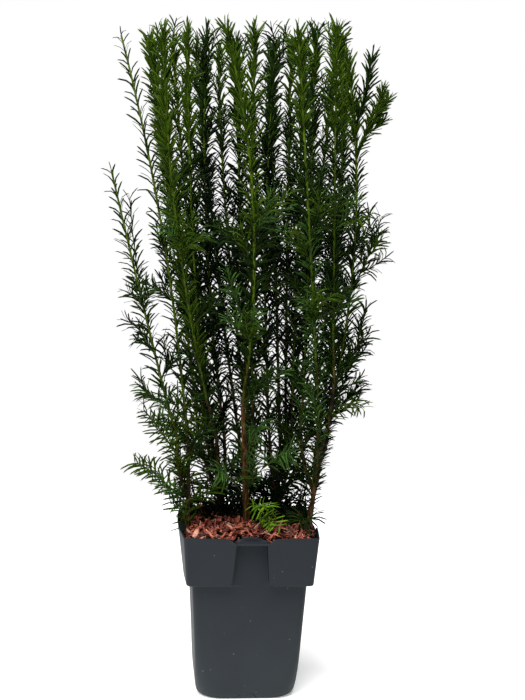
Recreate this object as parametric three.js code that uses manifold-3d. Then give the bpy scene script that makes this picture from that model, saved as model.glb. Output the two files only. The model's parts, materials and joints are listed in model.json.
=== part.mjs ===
// Many-stemmed yew, clipped flat at about 1.2 m, standing in its square nursery pot.
// Millimetres, +Z up, origin at the centre of the pot's flat underside, front of the pot at -Y.
import * as THREE from "three";
import Module from "manifold-3d";

const wasm = await Module();
wasm.setup();

// Pot: one moulded skin with a stepped collar, a hand grip in each side and four drain openings.
const POT_HEIGHT = 305;
const POT_WALL = 2.6;
const FLOOR = 3;
const CORNER_STEPS = 4;
const SIDE_STEPS = 2;
// Rings of the outside: height, half width, corner radius, outward bow of each side.
const POT_RINGS = [
  [0, 84.5, 44, 0],
  [5, 88.5, 42, 0],
  [18, 91.5, 38, 0],
  [45, 93, 24, 0],
  [80, 94.5, 14, 1],
  [214, 102.4, 11, 2],
  [217, 113, 9, 3],
  [POT_HEIGHT, 120, 8, 7],
];
const STEP_RING = 6;
const GRIP_TOP = 292.5;
const GRIP_BOTTOM = 213;
const GRIP_HALF_TOP = 27;
const GRIP_HALF_BOTTOM = 33;
const GRIP_FACE_TOP = 106.5;
const GRIP_FACE_BOTTOM = 102.2;
const LIP_TOP = 296;
const DIP_HALF = 43;
const ARCH_RISE = 7;
const DRAIN_HALF = 17.5;
const DRAIN_HEIGHT = 12;

// Potting soil with bark chips pressed into its top.
const SEAT = 0.3;
const SOIL_TOP = 292;
const CHIPS = 16;
const CHIP_REACH = 85;
const CHIP_FROM_TRUNK = 27;

// Wood: trunks cut flat at the soil, boughs leaving them, one tapering limb each.
const TRUNK_SIDES = 8;
const TRUNK_RINGS = 5;
const BOUGH_SIDES = 5;
const BOUGH_RINGS = 3;
const BOUGH_TIP = 2.9;
const FLARE = 0.75;
const FLARE_HEIGHT = 14;
// name, foot x y, tip x y z, bow x y, foot radius, tip radius
const TRUNKS = [
  ["trunk_centre", 0, -14, -16, -45, 526, 0, 2, 6.8, 3.6],
  ["trunk_right", 107, -43, 123, -15, 536, 7, 2, 4.6, 3.1],
  ["trunk_left", -110, -43, -112, -36, 450, 1, 0, 4.4, 3.2],
  ["trunk_mid_left", -42, 42, -58, 8, 450, 0, 5, 6, 3.6],
  ["trunk_back", 4, 68, 12, 84, 436, 0, -4, 5.6, 3.6],
  ["trunk_back_right", 58, 50, 76, 74, 440, -4, 4, 6, 3.6],
];
// name, trunk it leaves, how far up that trunk, tip x y z, bow x y, foot radius
const BOUGHS = [
  ["bough_low_left", "trunk_left", 0.5, -132, -58, 462, -6, -6, 3.6],
  ["bough_left", "trunk_mid_left", 0.42, -88, 34, 452, -5, 4, 4],
  ["bough_inner_left", "trunk_mid_left", 0.66, -80, 12, 470, -4, 4, 3.8],
  ["bough_mid_left", "trunk_mid_left", 0.36, -42, 38, 450, 4, 0, 3.8],
  ["bough_centre", "trunk_centre", 0.4, 8, 2, 450, 5, 2, 4],
  ["bough_mid_right", "trunk_back_right", 0.36, 42, 34, 448, -2, -5, 4],
  ["bough_inner_right", "trunk_right", 0.42, 96, 4, 460, -4, 4, 3.3],
  ["bough_right", "trunk_right", 0.62, 146, -42, 560, 5, -3, 3.2],
  ["bough_far_right", "trunk_right", 0.38, 134, 34, 458, 7, 6, 3.4],
  ["bough_outer_right", "trunk_right", 0.55, 144, -10, 500, 6, 0, 3.4],
  ["bough_back_inner_right", "trunk_back_right", 0.55, 82, 46, 450, 4, -5, 3.6],
  ["bough_back_outer_right", "trunk_back_right", 0.3, 118, 84, 442, 5, 3, 3.6],
];

// Foliage: one leader to a mass, from the tip of its limb (share 1) or from the trunk's side.
const STEM_ROOT = 2.3;
const STEM_TIP = 1.4;
const STEM_STEPS = 9;
const TWIG_ROOT = 1.9;
const LEADER_STEP = 28;
const LEADER_NEEDLE = 40;
const SPRAY_STEP = 21;
const SPRAY_NEEDLE = 36;
const STEP_TWIST = 0.42;
const GOLDEN = (137.5 * Math.PI) / 180;
// name, limb, share up the limb, tip x y z, bow x y z, twigs, longest twig
const LEADERS = [
  ["outer_left", "trunk_left", 1, -242, -15, 1172, 15, 4, 10, 6, 80],
  ["low_left", "bough_low_left", 1, -256, -60, 944, -4, -2, 10, 6, 90],
  ["left", "bough_left", 1, -193, 45, 1188, 0, 4, 10, 6, 90],
  ["front_left", "trunk_mid_left", 1, -171, -122, 1178, -24, -32, 14, 6, 95],
  ["inner_left", "bough_inner_left", 1, -129, -50, 1187, -8, -20, 14, 6, 80],
  ["mid_left", "bough_mid_left", 1, -91, 35, 1196, -17, 2, 12, 6, 80],
  ["front_centre", "trunk_centre", 1, -72, -152, 1182, 32, -10, 20, 6, 90],
  ["centre", "bough_centre", 1, -11, -30, 1198, -4, -4, 10, 6, 90],
  ["mid_right", "bough_mid_right", 1, 37, 55, 1180, -14, 6, 14, 6, 80],
  ["front_right", "trunk_right", 1, 52, -134, 1180, -4, -24, 20, 6, 90],
  ["inner_right", "bough_inner_right", 1, 95, -20, 1200, 2, -8, 10, 6, 80],
  ["right", "bough_right", 1, 126, -76, 1198, -2, -4, 10, 6, 80],
  ["far_right", "bough_far_right", 1, 154, 52, 1194, 17, 4, 14, 6, 80],
  ["outer_right", "bough_outer_right", 1, 153, -5, 1158, 34, 2, 16, 2, 80],
  ["back_outer_left", "trunk_mid_left", 0.52, -194, 114, 1180, -12, 16, 30, 6, 110],
  ["back_left", "trunk_mid_left", 0.22, -151, 106, 1184, -12, 20, 40, 6, 110],
  ["rear_left", "trunk_back", 0.42, -104, 152, 1188, -16, 16, 40, 6, 110],
  ["back_centre", "trunk_back", 0.7, -36, 72, 1186, -4, 4, 30, 6, 90],
  ["rear_centre", "trunk_back", 1, -62, 154, 1188, -14, 20, 20, 6, 110],
  ["back_mid_right", "trunk_back_right", 0.76, 30, 122, 1190, 0, 12, 30, 6, 100],
  ["back_inner_right", "bough_back_inner_right", 1, 86, 52, 1188, 2, 2, 20, 6, 80],
  ["rear_right", "trunk_back_right", 1, 74, 150, 1194, 0, 16, 20, 6, 110],
  ["back_right", "trunk_back_right", 0.48, 154, 110, 1190, 14, 6, 30, 6, 100],
  ["back_outer_right", "bough_back_outer_right", 1, 176, 114, 1168, 18, 8, 20, 6, 110],
];
// Low sprays: name, limb, share up the limb, tip x y z, bow z, twigs, longest twig
const SPRAYS = [
  ["low_right", "trunk_right", 0.86, 200, -34, 524, 18, 2, 34],
  ["lowest_right", "trunk_right", 0.12, 90, -98, 330, 12, 2, 28],
  ["back_low_right", "trunk_back_right", 0.62, 146, 112, 452, 12, 3, 60],
  ["left_upper", "trunk_left", 0.72, -192, -58, 520, 8, 3, 60],
  ["left_lower", "trunk_left", 0.4, -204, -40, 420, 12, 4, 60],
  ["left_foot", "trunk_left", 0.16, -128, -72, 356, 8, 3, 40],
  ["back_low_left", "bough_left", 0.6, -160, 70, 482, 12, 3, 65],
  ["fresh_centre", "trunk_centre", 0.2, 24, -88, 352, 14, 2, 30],
  ["fresh_front", "trunk_centre", 0.06, 50, -98, 320, 18, 2, 32],
  ["front_centre_low", "trunk_centre", 0.62, 10, -100, 500, 12, 2, 34],
  ["front_right_low", "trunk_centre", 0.44, 70, -90, 456, 14, 2, 38],
  ["front_left_low", "trunk_centre", 0.36, -60, -86, 416, 12, 2, 36],
  ["rear_low_left", "trunk_mid_left", 0.14, -92, 122, 410, 12, 4, 65],
  ["rear_low", "trunk_back", 0.24, 0, 154, 414, 12, 4, 65],
  ["rear_low_right", "trunk_back_right", 0.2, 96, 136, 408, 12, 3, 65],
];
// Side shoots that stand out of the outline: leader, share up its stem, tip x y z
const ARMS = [
  ["outer_right", 0.8, 200, -12, 1146],
  ["outer_right", 0.74, 223, -16, 1090],
  ["outer_right", 0.4, 228, 0, 864],
  ["outer_right", 0.06, 208, 0, 702],
  ["low_left", 0.5, -222, -30, 886],
];

const BARK = { color: "#6b4630", roughness: 0.9, metalness: 0 };
const LEAF = { color: "#27451c", roughness: 0.55, metalness: 0 };
const FRESH = { color: "#4f8d1f", roughness: 0.5, metalness: 0 };

const at = (x, y, z) => new THREE.Vector3(x, y, z);

// Seeded draws between 0 and 1.
function dice(seed) {
  let state = (seed * 2654435761 + 12345) >>> 0;
  return () => {
    state = (Math.imul(state, 1664525) + 1013904223) >>> 0;
    return state / 4294967296;
  };
}

function closed(points, faces) {
  const vertProperties = new Float32Array(points.flatMap((p) => [p.x, p.y, p.z]));
  return new wasm.Manifold(
    new wasm.Mesh({ numProp: 3, vertProperties, triVerts: new Uint32Array(faces.flat()) })
  );
}

// The largest piece alone, so that no loose scrap and no sealed hollow stays.
function whole(solid) {
  return solid.decompose().reduce((a, b) => (a.volume() > b.volume() ? a : b));
}

function joined(solids) {
  let row = solids;
  while (row.length > 1) {
    const next = [];
    for (let i = 0; i < row.length; i += 2) {
      next.push(i + 1 < row.length ? row[i].add(row[i + 1]) : row[i]);
    }
    row = next;
  }
  return row[0];
}

// A closed stack of rings, each ring a list of points in the same order.
function loft(rings) {
  const n = rings[0].length;
  const faces = [];
  for (let k = 0; k + 1 < rings.length; k++) {
    for (let i = 0; i < n; i++) {
      const j = (i + 1) % n;
      faces.push([k * n + i, k * n + j, (k + 1) * n + j], [k * n + i, (k + 1) * n + j, (k + 1) * n + i]);
    }
  }
  const top = (rings.length - 1) * n;
  for (let i = 1; i + 1 < n; i++) {
    faces.push([0, i + 1, i], [top, top + i, top + i + 1]);
  }
  return closed(rings.flat(), faces);
}

// Points of a curve from foot to tip that passes beside the straight line by the bow.
function curve(foot, tip, bow, steps) {
  const middle = foot.clone().add(tip).multiplyScalar(0.5).addScaledVector(bow, 2);
  return new THREE.QuadraticBezierCurve3(foot, middle, tip).getPoints(steps);
}

function along(points, share) {
  const place = share * (points.length - 1);
  const k = Math.min(Math.floor(place), points.length - 2);
  return {
    spot: points[k].clone().lerp(points[k + 1], place - k),
    heading: points[k + 1].clone().sub(points[k]).normalize(),
  };
}

// A round limb along points; a last radius of zero closes it in a point.
function tube(points, radii, sides, heading) {
  const last = points.length - 1;
  const start = points[1].clone().sub(points[0]).normalize();
  const rings = [];
  for (let k = 0; k <= last; k++) {
    const t = points[Math.min(k + 1, last)].clone().sub(points[Math.max(k - 1, 0)]).normalize();
    if (k === 0 && heading) {
      t.copy(heading);
    }
    const guide = Math.abs(start.z) < 0.7 ? at(0, 0, 1) : at(1, 0, 0);
    const side = guide.cross(t).normalize();
    const up = t.clone().cross(side);
    const ring = [];
    for (let i = 0; i < sides; i++) {
      const a = (2 * Math.PI * i) / sides;
      const r = typeof radii[k] === "function" ? radii[k](a) : radii[k];
      ring.push(
        points[k].clone().addScaledVector(side, r * Math.cos(a)).addScaledVector(up, r * Math.sin(a))
      );
    }
    rings.push(ring);
  }
  if (radii[last] > 0 || typeof radii[last] === "function") {
    return loft(rings);
  }
  rings.pop();
  const faces = [];
  for (let k = 0; k + 1 < rings.length; k++) {
    for (let i = 0; i < sides; i++) {
      const j = (i + 1) % sides;
      const low = k * sides;
      const high = low + sides;
      faces.push([low + i, low + j, high + j], [low + i, high + j, high + i]);
    }
  }
  const top = (rings.length - 1) * sides;
  for (let i = 0; i < sides; i++) {
    faces.push([top + i, top + ((i + 1) % sides), top + sides]);
  }
  for (let i = 1; i + 1 < sides; i++) {
    faces.push([0, i + 1, i]);
  }
  return closed([...rings.flat(), points[last]], faces);
}

// Rounded square with bowed sides, counterclockwise seen from above.
function squareRing(z, half, corner, bow) {
  const flat = half - corner;
  const ring = [];
  for (let q = 0; q < 4; q++) {
    const turn = (x, y) => {
      const [c, s] = [[1, 0], [0, 1], [-1, 0], [0, -1]][q];
      ring.push(at(x * c - y * s, x * s + y * c, z));
    };
    for (let j = 0; j < SIDE_STEPS; j++) {
      const y = -flat + (2 * flat * j) / SIDE_STEPS;
      turn(half + bow * Math.cos((Math.PI * y) / (2 * flat)), y);
    }
    for (let j = 0; j < CORNER_STEPS; j++) {
      const a = (Math.PI * j) / (2 * CORNER_STEPS);
      turn(flat + corner * Math.cos(a), flat + corner * Math.sin(a));
    }
  }
  return ring;
}

// The pot's inside, set in from its outside by the skin's thickness, or by that and the soil's seat.
function inside(setIn, floor) {
  const rings = POT_RINGS.map(([z, half, corner, bow], k) => {
    const lift = k === STEP_RING || k === STEP_RING - 1 ? setIn : k === 1 ? 2 : 0;
    const height = k === 0 ? floor : z + lift;
    return squareRing(height, half - setIn, corner - setIn, bow);
  });
  const [low, high] = [POT_RINGS[STEP_RING], POT_RINGS[STEP_RING + 1]];
  const on = (i) => high[i] + ((high[i] - low[i]) * 5) / (high[0] - low[0]);
  rings.push(squareRing(POT_HEIGHT + 5, on(1) - setIn, on(2) - setIn, on(3)));
  return loft(rings);
}

// A block seen from the pot's front: an outline in x and z, each point with its own near face,
// carried out past the pot; quarter turns put it on the other sides.
function sideBlock(outline, far, quarter) {
  const [c, s] = [[1, 0], [0, 1], [-1, 0], [0, -1]][quarter];
  const turn = ([x, y, z]) => at(x * c - y * s, x * s + y * c, z);
  const n = outline.length;
  const near = outline.map(([x, z, face]) => turn([x, -face, z]));
  const out = outline.map(([x, z]) => turn([x, -far, z]));
  const caps = THREE.ShapeUtils.triangulateShape(outline.map(([x, z]) => new THREE.Vector2(x, z)), []);
  const faces = [];
  for (const [i, j, k] of caps) {
    faces.push([n + i, n + j, n + k], [i, k, j]);
  }
  for (let i = 0; i < n; i++) {
    const j = (i + 1) % n;
    faces.push([i, j, n + j], [i, n + j, n + i]);
  }
  return closed([...near, ...out], faces);
}

// The hand grip's pocket, or the block of skin round it when it is grown.
function grip(grow, top, quarter) {
  const low = GRIP_HALF_BOTTOM + grow;
  const high = GRIP_HALF_TOP + grow;
  return sideBlock(
    [
      [-low, GRIP_BOTTOM - grow, GRIP_FACE_BOTTOM - grow],
      [low, GRIP_BOTTOM - grow, GRIP_FACE_BOTTOM - grow],
      [high, top, GRIP_FACE_TOP - grow],
      [-high, top, GRIP_FACE_TOP - grow],
    ],
    140,
    quarter
  );
}

function buildPot() {
  let pot = loft(POT_RINGS.map(([z, half, corner, bow]) => squareRing(z, half, corner, bow)));
  let hollow = inside(POT_WALL, FLOOR);
  for (let q = 0; q < 4; q++) {
    hollow = hollow.subtract(grip(POT_WALL, POT_HEIGHT + 6, q));
  }
  pot = pot.subtract(hollow);
  for (let q = 0; q < 4; q++) {
    const arch = [];
    const drain = [];
    for (let i = 0; i <= 8; i++) {
      const x = -GRIP_HALF_TOP - 3 + ((2 * GRIP_HALF_TOP + 6) * i) / 8;
      const rise = Math.max(0, Math.cos((Math.PI * x) / (2 * GRIP_HALF_TOP)));
      arch.push([x, LIP_TOP + ARCH_RISE * rise, GRIP_FACE_TOP - 6]);
      const a = Math.PI * (1 - i / 8);
      drain.push([DRAIN_HALF * Math.cos(a), DRAIN_HEIGHT * Math.sin(a), 70]);
    }
    const end = GRIP_HALF_TOP + 3;
    arch.push([end, 310, GRIP_FACE_TOP - 6], [-end, 310, GRIP_FACE_TOP - 6]);
    drain.push([DRAIN_HALF, -2, 70], [-DRAIN_HALF, -2, 70]);
    const dip = [
      [-GRIP_HALF_TOP, LIP_TOP, GRIP_FACE_TOP],
      [GRIP_HALF_TOP, LIP_TOP, GRIP_FACE_TOP],
      [DIP_HALF, POT_HEIGHT + 1, GRIP_FACE_TOP],
      [-DIP_HALF, POT_HEIGHT + 1, GRIP_FACE_TOP],
    ];
    pot = pot.subtract(grip(0, GRIP_TOP, q));
    pot = pot.subtract(sideBlock(dip, 140, q));
    pot = pot.subtract(sideBlock(arch, 110, q));
    pot = pot.subtract(sideBlock(drain.reverse(), 120, q));
  }
  return whole(pot);
}

function buildSoil() {
  let soil = inside(POT_WALL + SEAT, FLOOR + SEAT);
  const above = [SOIL_TOP, POT_HEIGHT + 10].map((z) => squareRing(z, 140, 10, 0));
  soil = soil.subtract(loft(above));
  for (let q = 0; q < 4; q++) {
    soil = soil.subtract(grip(POT_WALL + SEAT, POT_HEIGHT + 6, q));
  }
  const draw = dice(77);
  const chips = [];
  while (chips.length < CHIPS) {
    const spot = at((draw() * 2 - 1) * CHIP_REACH, (draw() * 2 - 1) * CHIP_REACH, SOIL_TOP + 1 + 2 * draw());
    const shape = new THREE.BoxGeometry(16 + 16 * draw(), 6 + 4 * draw(), 2.6 + 1.6 * draw());
    const twist = new THREE.Euler((draw() - 0.5) * 0.6, (draw() - 0.5) * 0.4, draw() * Math.PI);
    if (TRUNKS.some((t) => Math.hypot(spot.x - t[1], spot.y - t[2]) < CHIP_FROM_TRUNK)) {
      continue;
    }
    const corner = shape.parameters;
    const points = [];
    for (const [x, y, z] of [[-1, -1, -1], [1, -1, -1], [1, 1, -1], [-1, 1, -1]]) {
      points.push(at((x * corner.width) / 2, (y * corner.height) / 2, (z * corner.depth) / 2));
    }
    for (const p of points.slice()) {
      points.push(at(p.x, p.y, -p.z));
    }
    points.forEach((p) => p.applyEuler(twist).add(spot));
    chips.push(loft([points.slice(0, 4), points.slice(4)]));
  }
  return whole(joined([soil, ...chips]));
}

// Every limb as points and radii, so that a limb can be grown by a gap and cut from what meets it.
const limbs = {};

function limbSolid({ points, radii, sides, heading }, grow) {
  const more = grow / Math.cos(Math.PI / sides);
  const wider = radii.map((r) => (typeof r === "function" ? (a) => r(a) + more : r + more));
  const longer = points.map((p) => p.clone());
  const n = points.length;
  longer[0].addScaledVector(points[1].clone().sub(points[0]).normalize(), -grow);
  longer[n - 1].addScaledVector(points[n - 1].clone().sub(points[n - 2]).normalize(), grow);
  return tube(longer, wider, sides, heading);
}

function placeTrunks() {
  for (const [name, footX, footY, x, y, z, bowX, bowY, foot, tip] of TRUNKS) {
    const points = curve(at(footX, footY, SOIL_TOP + SEAT), at(x, y, z), at(bowX, bowY, 0), TRUNK_RINGS);
    const length = z - SOIL_TOP;
    points.splice(1, 0, points[0].clone().lerp(points[1], (FLARE_HEIGHT * (TRUNK_RINGS / length)) / 2));
    const radii = points.map((p) => {
      const share = (p.z - SOIL_TOP) / length;
      const round = tip + (foot - tip) * (1 - share);
      const flare = FLARE * foot * Math.exp(-(p.z - SOIL_TOP) / FLARE_HEIGHT);
      return flare < 0.3 ? round : (a) => round + flare * (0.75 + 0.25 * Math.cos(3 * a));
    });
    limbs[name] = { points, radii, sides: TRUNK_SIDES, heading: at(0, 0, 1), foot, tip, length };
  }
}

function radiusAt(limb, share) {
  return limb.foot + (limb.tip - limb.foot) * share;
}

function placeBoughs() {
  for (const [name, parent, share, x, y, z, bowX, bowY, foot] of BOUGHS) {
    const start = along(limbs[parent].points, share).spot;
    const points = curve(start, at(x, y, z), at(bowX, bowY, 0), BOUGH_RINGS);
    const radii = points.map((p, k) => foot + ((BOUGH_TIP - foot) * k) / BOUGH_RINGS);
    limbs[name] = { points, radii, sides: BOUGH_SIDES, foot, tip: BOUGH_TIP, parent };
  }
}

// Straight pieces of every stem and twig, kept apart by mass, for the rule of nearest stem.
function stretchDistance(p, a, b) {
  const [x, y, z] = [b.x - a.x, b.y - a.y, b.z - a.z];
  const [u, v, w] = [p.x - a.x, p.y - a.y, p.z - a.z];
  const t = Math.min(1, Math.max(0, (u * x + v * y + w * z) / (x * x + y * y + z * z)));
  return Math.hypot(u - t * x, v - t * y, w - t * z);
}

function nearest(p, lines) {
  let best = Infinity;
  for (const line of lines) {
    for (let k = 0; k + 1 < line.length; k++) {
      best = Math.min(best, stretchDistance(p, line[k], line[k + 1]));
    }
  }
  return best;
}

function limbGap(p) {
  let best = Infinity;
  for (const limb of Object.values(limbs)) {
    best = Math.min(best, nearest(p, [limb.points]) - limb.foot);
  }
  return best;
}

const masses = [];

// A stem for each mass: it starts inside its limb, which is cut from it later with the gap.
function placeStems() {
  const add = (row, name, limbName, share, tip, bow, twigs, longest, kind) => {
    const limb = limbs[limbName];
    const { spot, heading } = along(limb.points, share);
    const foot = share === 1 ? spot.addScaledVector(heading, -2) : spot;
    const stem = curve(foot, tip, bow, kind === "leader" ? STEM_STEPS : 5);
    if (share === 1) {
      stem.splice(1, 0, foot.clone().addScaledVector(heading, 14));
    }
    masses.push({ row, name, limb, stem, twigs, longest, kind, shoots: [] });
  };
  LEADERS.forEach(([name, limb, share, x, y, z, bowX, bowY, bowZ, twigs, longest], i) => {
    const bow = at(bowX, bowY, bowZ).multiplyScalar(share === 1 ? 1 : 0.8);
    add(i, name, limb, share, at(x, y, z), bow, twigs, longest, "leader");
  });
  SPRAYS.forEach(([name, limb, share, x, y, z, bowZ, twigs, longest], i) => {
    add(100 + i, name, limb, share, at(x, y, z), at(0, 0, bowZ), twigs, longest, "spray");
  });
}

// Is a point in the mass's own space, by a margin, clear of all wood and of the pot and its chips?
function ownSpace(p, mass, own, margin) {
  if (p.z < 314 || limbGap(p) < 1.5 + margin) {
    return false;
  }
  const mine = nearest(p, own) + margin;
  return masses.every((other) => other === mass || nearest(p, [other.stem, ...other.shoots]) > mine);
}

function placeTwigs(mass) {
  const draw = dice(mass.row + 1);
  const turnStart = draw() * 2 * Math.PI;
  const leader = mass.kind === "leader";
  const found = [];
  for (let k = 0; k < mass.twigs; k++) {
    const share = leader ? 0.04 + (0.5 * (k + draw())) / mass.twigs : 0.25 + (0.55 * (k + 0.5)) / mass.twigs;
    const { spot, heading } = along(mass.stem, share);
    const turn = leader ? turnStart + k * GOLDEN : Math.PI * (k % 2) + (draw() - 0.5) * 0.5;
    const guide = leader ? at(1, 0, 0) : at(0, 0, 1);
    const side = guide.cross(heading).normalize();
    const up = heading.clone().cross(side);
    const out = side.multiplyScalar(Math.cos(turn)).addScaledVector(up, Math.sin(turn));
    const length = mass.longest * (1 - 0.55 * share) * (0.75 + 0.4 * draw());
    const lean = leader ? 0.95 - 0.35 * share : 0.8;
    const first = heading.clone().multiplyScalar(Math.cos(lean)).addScaledVector(out, Math.sin(lean));
    const bend = leader ? heading : at(0, 0, -0.35).add(heading);
    const points = [];
    for (let i = 0; i <= 3; i++) {
      const reach = (length * i) / 3;
      points.push(
        spot.clone().addScaledVector(first, reach).addScaledVector(bend, (0.35 * reach * reach) / length)
      );
    }
    found.push(points);
  }
  for (const [name, share, x, y, z] of ARMS) {
    if (leader && mass.name === name) {
      const { spot } = along(mass.stem, share);
      const bow = at(x - spot.x, y - spot.y, 0).multiplyScalar(0.12);
      found.push(curve(spot, at(x, y, z), bow, 3));
    }
  }
  return found;
}

// A twig that would leave the space is cut back to its last good point, or skipped.
function keepTwigs(mass, found) {
  const kept = [];
  for (const points of found) {
    let good = 0;
    while (good < 3 && ownSpace(points[good + 1], mass, [mass.stem], 4)) {
      good += 1;
    }
    if (good >= 2) {
      kept.push(points.slice(0, good + 1));
    }
  }
  return kept;
}

// Even steps along a bent line.
function stepped(line, spacing) {
  const lengths = [0];
  for (let k = 1; k < line.length; k++) {
    lengths.push(lengths[k - 1] + line[k].distanceTo(line[k - 1]));
  }
  const total = lengths[lengths.length - 1];
  const count = Math.max(2, Math.round(total / spacing));
  const points = [];
  for (let i = 0; i <= count; i++) {
    const reach = (total * i) / count;
    let k = 1;
    while (k < line.length - 1 && lengths[k] < reach) {
      k += 1;
    }
    const share = (reach - lengths[k - 1]) / (lengths[k] - lengths[k - 1]);
    points.push(line[k - 1].clone().lerp(line[k], share));
  }
  return points;
}

// A three-sided stem whose sides are drawn out into needles, two to a step, closed in a point.
// Flat sprays hold their needles to both sides, leaders hold them all round.
function needled(line, mass, root, spacing, length, flat, draw) {
  const points = stepped(line, spacing);
  const last = points.length - 1;
  const own = [mass.stem, ...mass.shoots];
  const first = points[1].clone().sub(points[0]).normalize();
  const turnStart = flat ? Math.PI / 2 : draw() * 6;
  const spots = [];
  for (let k = 0; k < last; k++) {
    const t = points[k + 1].clone().sub(points[Math.max(k - 1, 0)]).normalize();
    const guide = Math.abs(first.z) < 0.7 ? at(0, 0, 1) : at(1, 0, 0);
    const side = guide.cross(t).normalize();
    const up = t.clone().cross(side);
    const r = root + ((STEM_TIP - root) * k) / last;
    for (let i = 0; i < 3; i++) {
      const a = turnStart + (flat ? 0 : STEP_TWIST * k) + (2 * Math.PI * i) / 3;
      spots.push(
        points[k].clone().addScaledVector(side, r * Math.cos(a)).addScaledVector(up, r * Math.sin(a))
      );
    }
  }
  const tip = spots.push(points[last]) - 1;
  const faces = [[0, 2, 1]];
  for (let k = 0; k + 1 < last; k++) {
    const heading = points[k + 1].clone().sub(points[k]).normalize();
    const end = Math.max(0, (5 * k) / last - 4);
    const lean = (flat ? 1 : 0.8) - 0.35 * end;
    for (let i = 0; i < 3; i++) {
      const [low, next] = [3 * k + i, 3 * k + ((i + 1) % 3)];
      const [high, over] = [low + 3, next + 3];
      const side = [low, over, high];
      faces.push([low, next, over]);
      const root = side.reduce((sum, n) => sum.add(spots[n]), at(0, 0, 0)).multiplyScalar(1 / 3);
      const out = root.clone().sub(points[k]).projectOnPlane(heading).normalize();
      const point = heading.clone().multiplyScalar(Math.cos(lean)).addScaledVector(out, Math.sin(lean));
      const reach = length * (0.9 + 0.2 * draw()) * (1 - 0.2 * end);
      const drawn = flat ? i !== 1 : (k + i) % 3 !== 0;
      const clear = (f) =>
        ownSpace(root.clone().addScaledVector(point, reach * f), mass, own, 8 * (1 - f) + 0.8);
      if (drawn && k > 0 && [0.3, 0.6, 0.8, 1].every(clear)) {
        const apex = spots.push(root.addScaledVector(point, reach)) - 1;
        faces.push([low, over, apex], [over, high, apex], [high, low, apex]);
      } else {
        faces.push(side);
      }
    }
  }
  const end = points[last].clone().sub(points[last - 1]).normalize();
  for (let i = 0; i < 3; i++) {
    const [low, next] = [3 * (last - 1) + i, 3 * (last - 1) + ((i + 1) % 3)];
    const root = spots[low].clone().add(spots[next]).add(spots[tip]).multiplyScalar(1 / 3);
    const out = root.clone().sub(points[last]).projectOnPlane(end).normalize();
    const apex = root.addScaledVector(end, 0.72 * length).addScaledVector(out, 0.3 * length);
    if (ownSpace(apex, mass, own, 2)) {
      const peak = spots.push(apex) - 1;
      faces.push([low, next, peak], [next, tip, peak], [tip, low, peak]);
    } else {
      faces.push([low, next, tip]);
    }
  }
  return closed(spots, faces);
}

function buildMass(mass) {
  const draw = dice(mass.row + 501);
  const leader = mass.kind === "leader";
  const reach = leader ? LEADER_NEEDLE : SPRAY_NEEDLE;
  const step = leader ? LEADER_STEP : SPRAY_STEP;
  const solids = [needled(mass.stem, mass, STEM_ROOT, step, reach, !leader, draw)];
  for (const twig of mass.shoots) {
    solids.push(needled(twig, mass, TWIG_ROOT, SPRAY_STEP, SPRAY_NEEDLE, !leader, draw));
  }
  return whole(joined(solids).subtract(limbSolid(mass.limb, SEAT)));
}

placeTrunks();
placeBoughs();
placeStems();
const drawn = masses.map(placeTwigs);
masses.forEach((mass, i) => {
  mass.shoots = keepTwigs(mass, drawn[i]);
});

const group = new THREE.Group();

function addPart(name, solid, look) {
  const { vertProperties, triVerts } = solid.getMesh();
  const geometry = new THREE.BufferGeometry();
  geometry.setAttribute("position", new THREE.BufferAttribute(new Float32Array(vertProperties), 3));
  geometry.setIndex(new THREE.BufferAttribute(new Uint32Array(triVerts), 1));
  geometry.computeVertexNormals();
  const mesh = new THREE.Mesh(geometry, new THREE.MeshStandardMaterial(look));
  mesh.name = name;
  group.add(mesh);
}

addPart("pot", buildPot(), { color: "#363c41", roughness: 0.6, metalness: 0 });
addPart("soil_and_bark_chips", buildSoil(), { color: "#8a4a33", roughness: 0.95, metalness: 0 });
for (const [name] of TRUNKS) {
  addPart(name, limbSolid(limbs[name], 0), BARK);
}
for (const [name, parent] of BOUGHS) {
  const bough = limbSolid(limbs[name], 0).subtract(limbSolid(limbs[parent], SEAT));
  addPart(name, whole(bough), BARK);
}
for (const mass of masses) {
  const fresh = mass.name.startsWith("fresh");
  const title = mass.kind === "leader" ? `foliage_${mass.name}` : `spray_${mass.name}`;
  addPart(title, buildMass(mass), fresh ? FRESH : LEAF);
}

export default group;
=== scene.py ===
import json
import math

import bpy
import numpy as np
from mathutils import Matrix, Vector, noise

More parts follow.
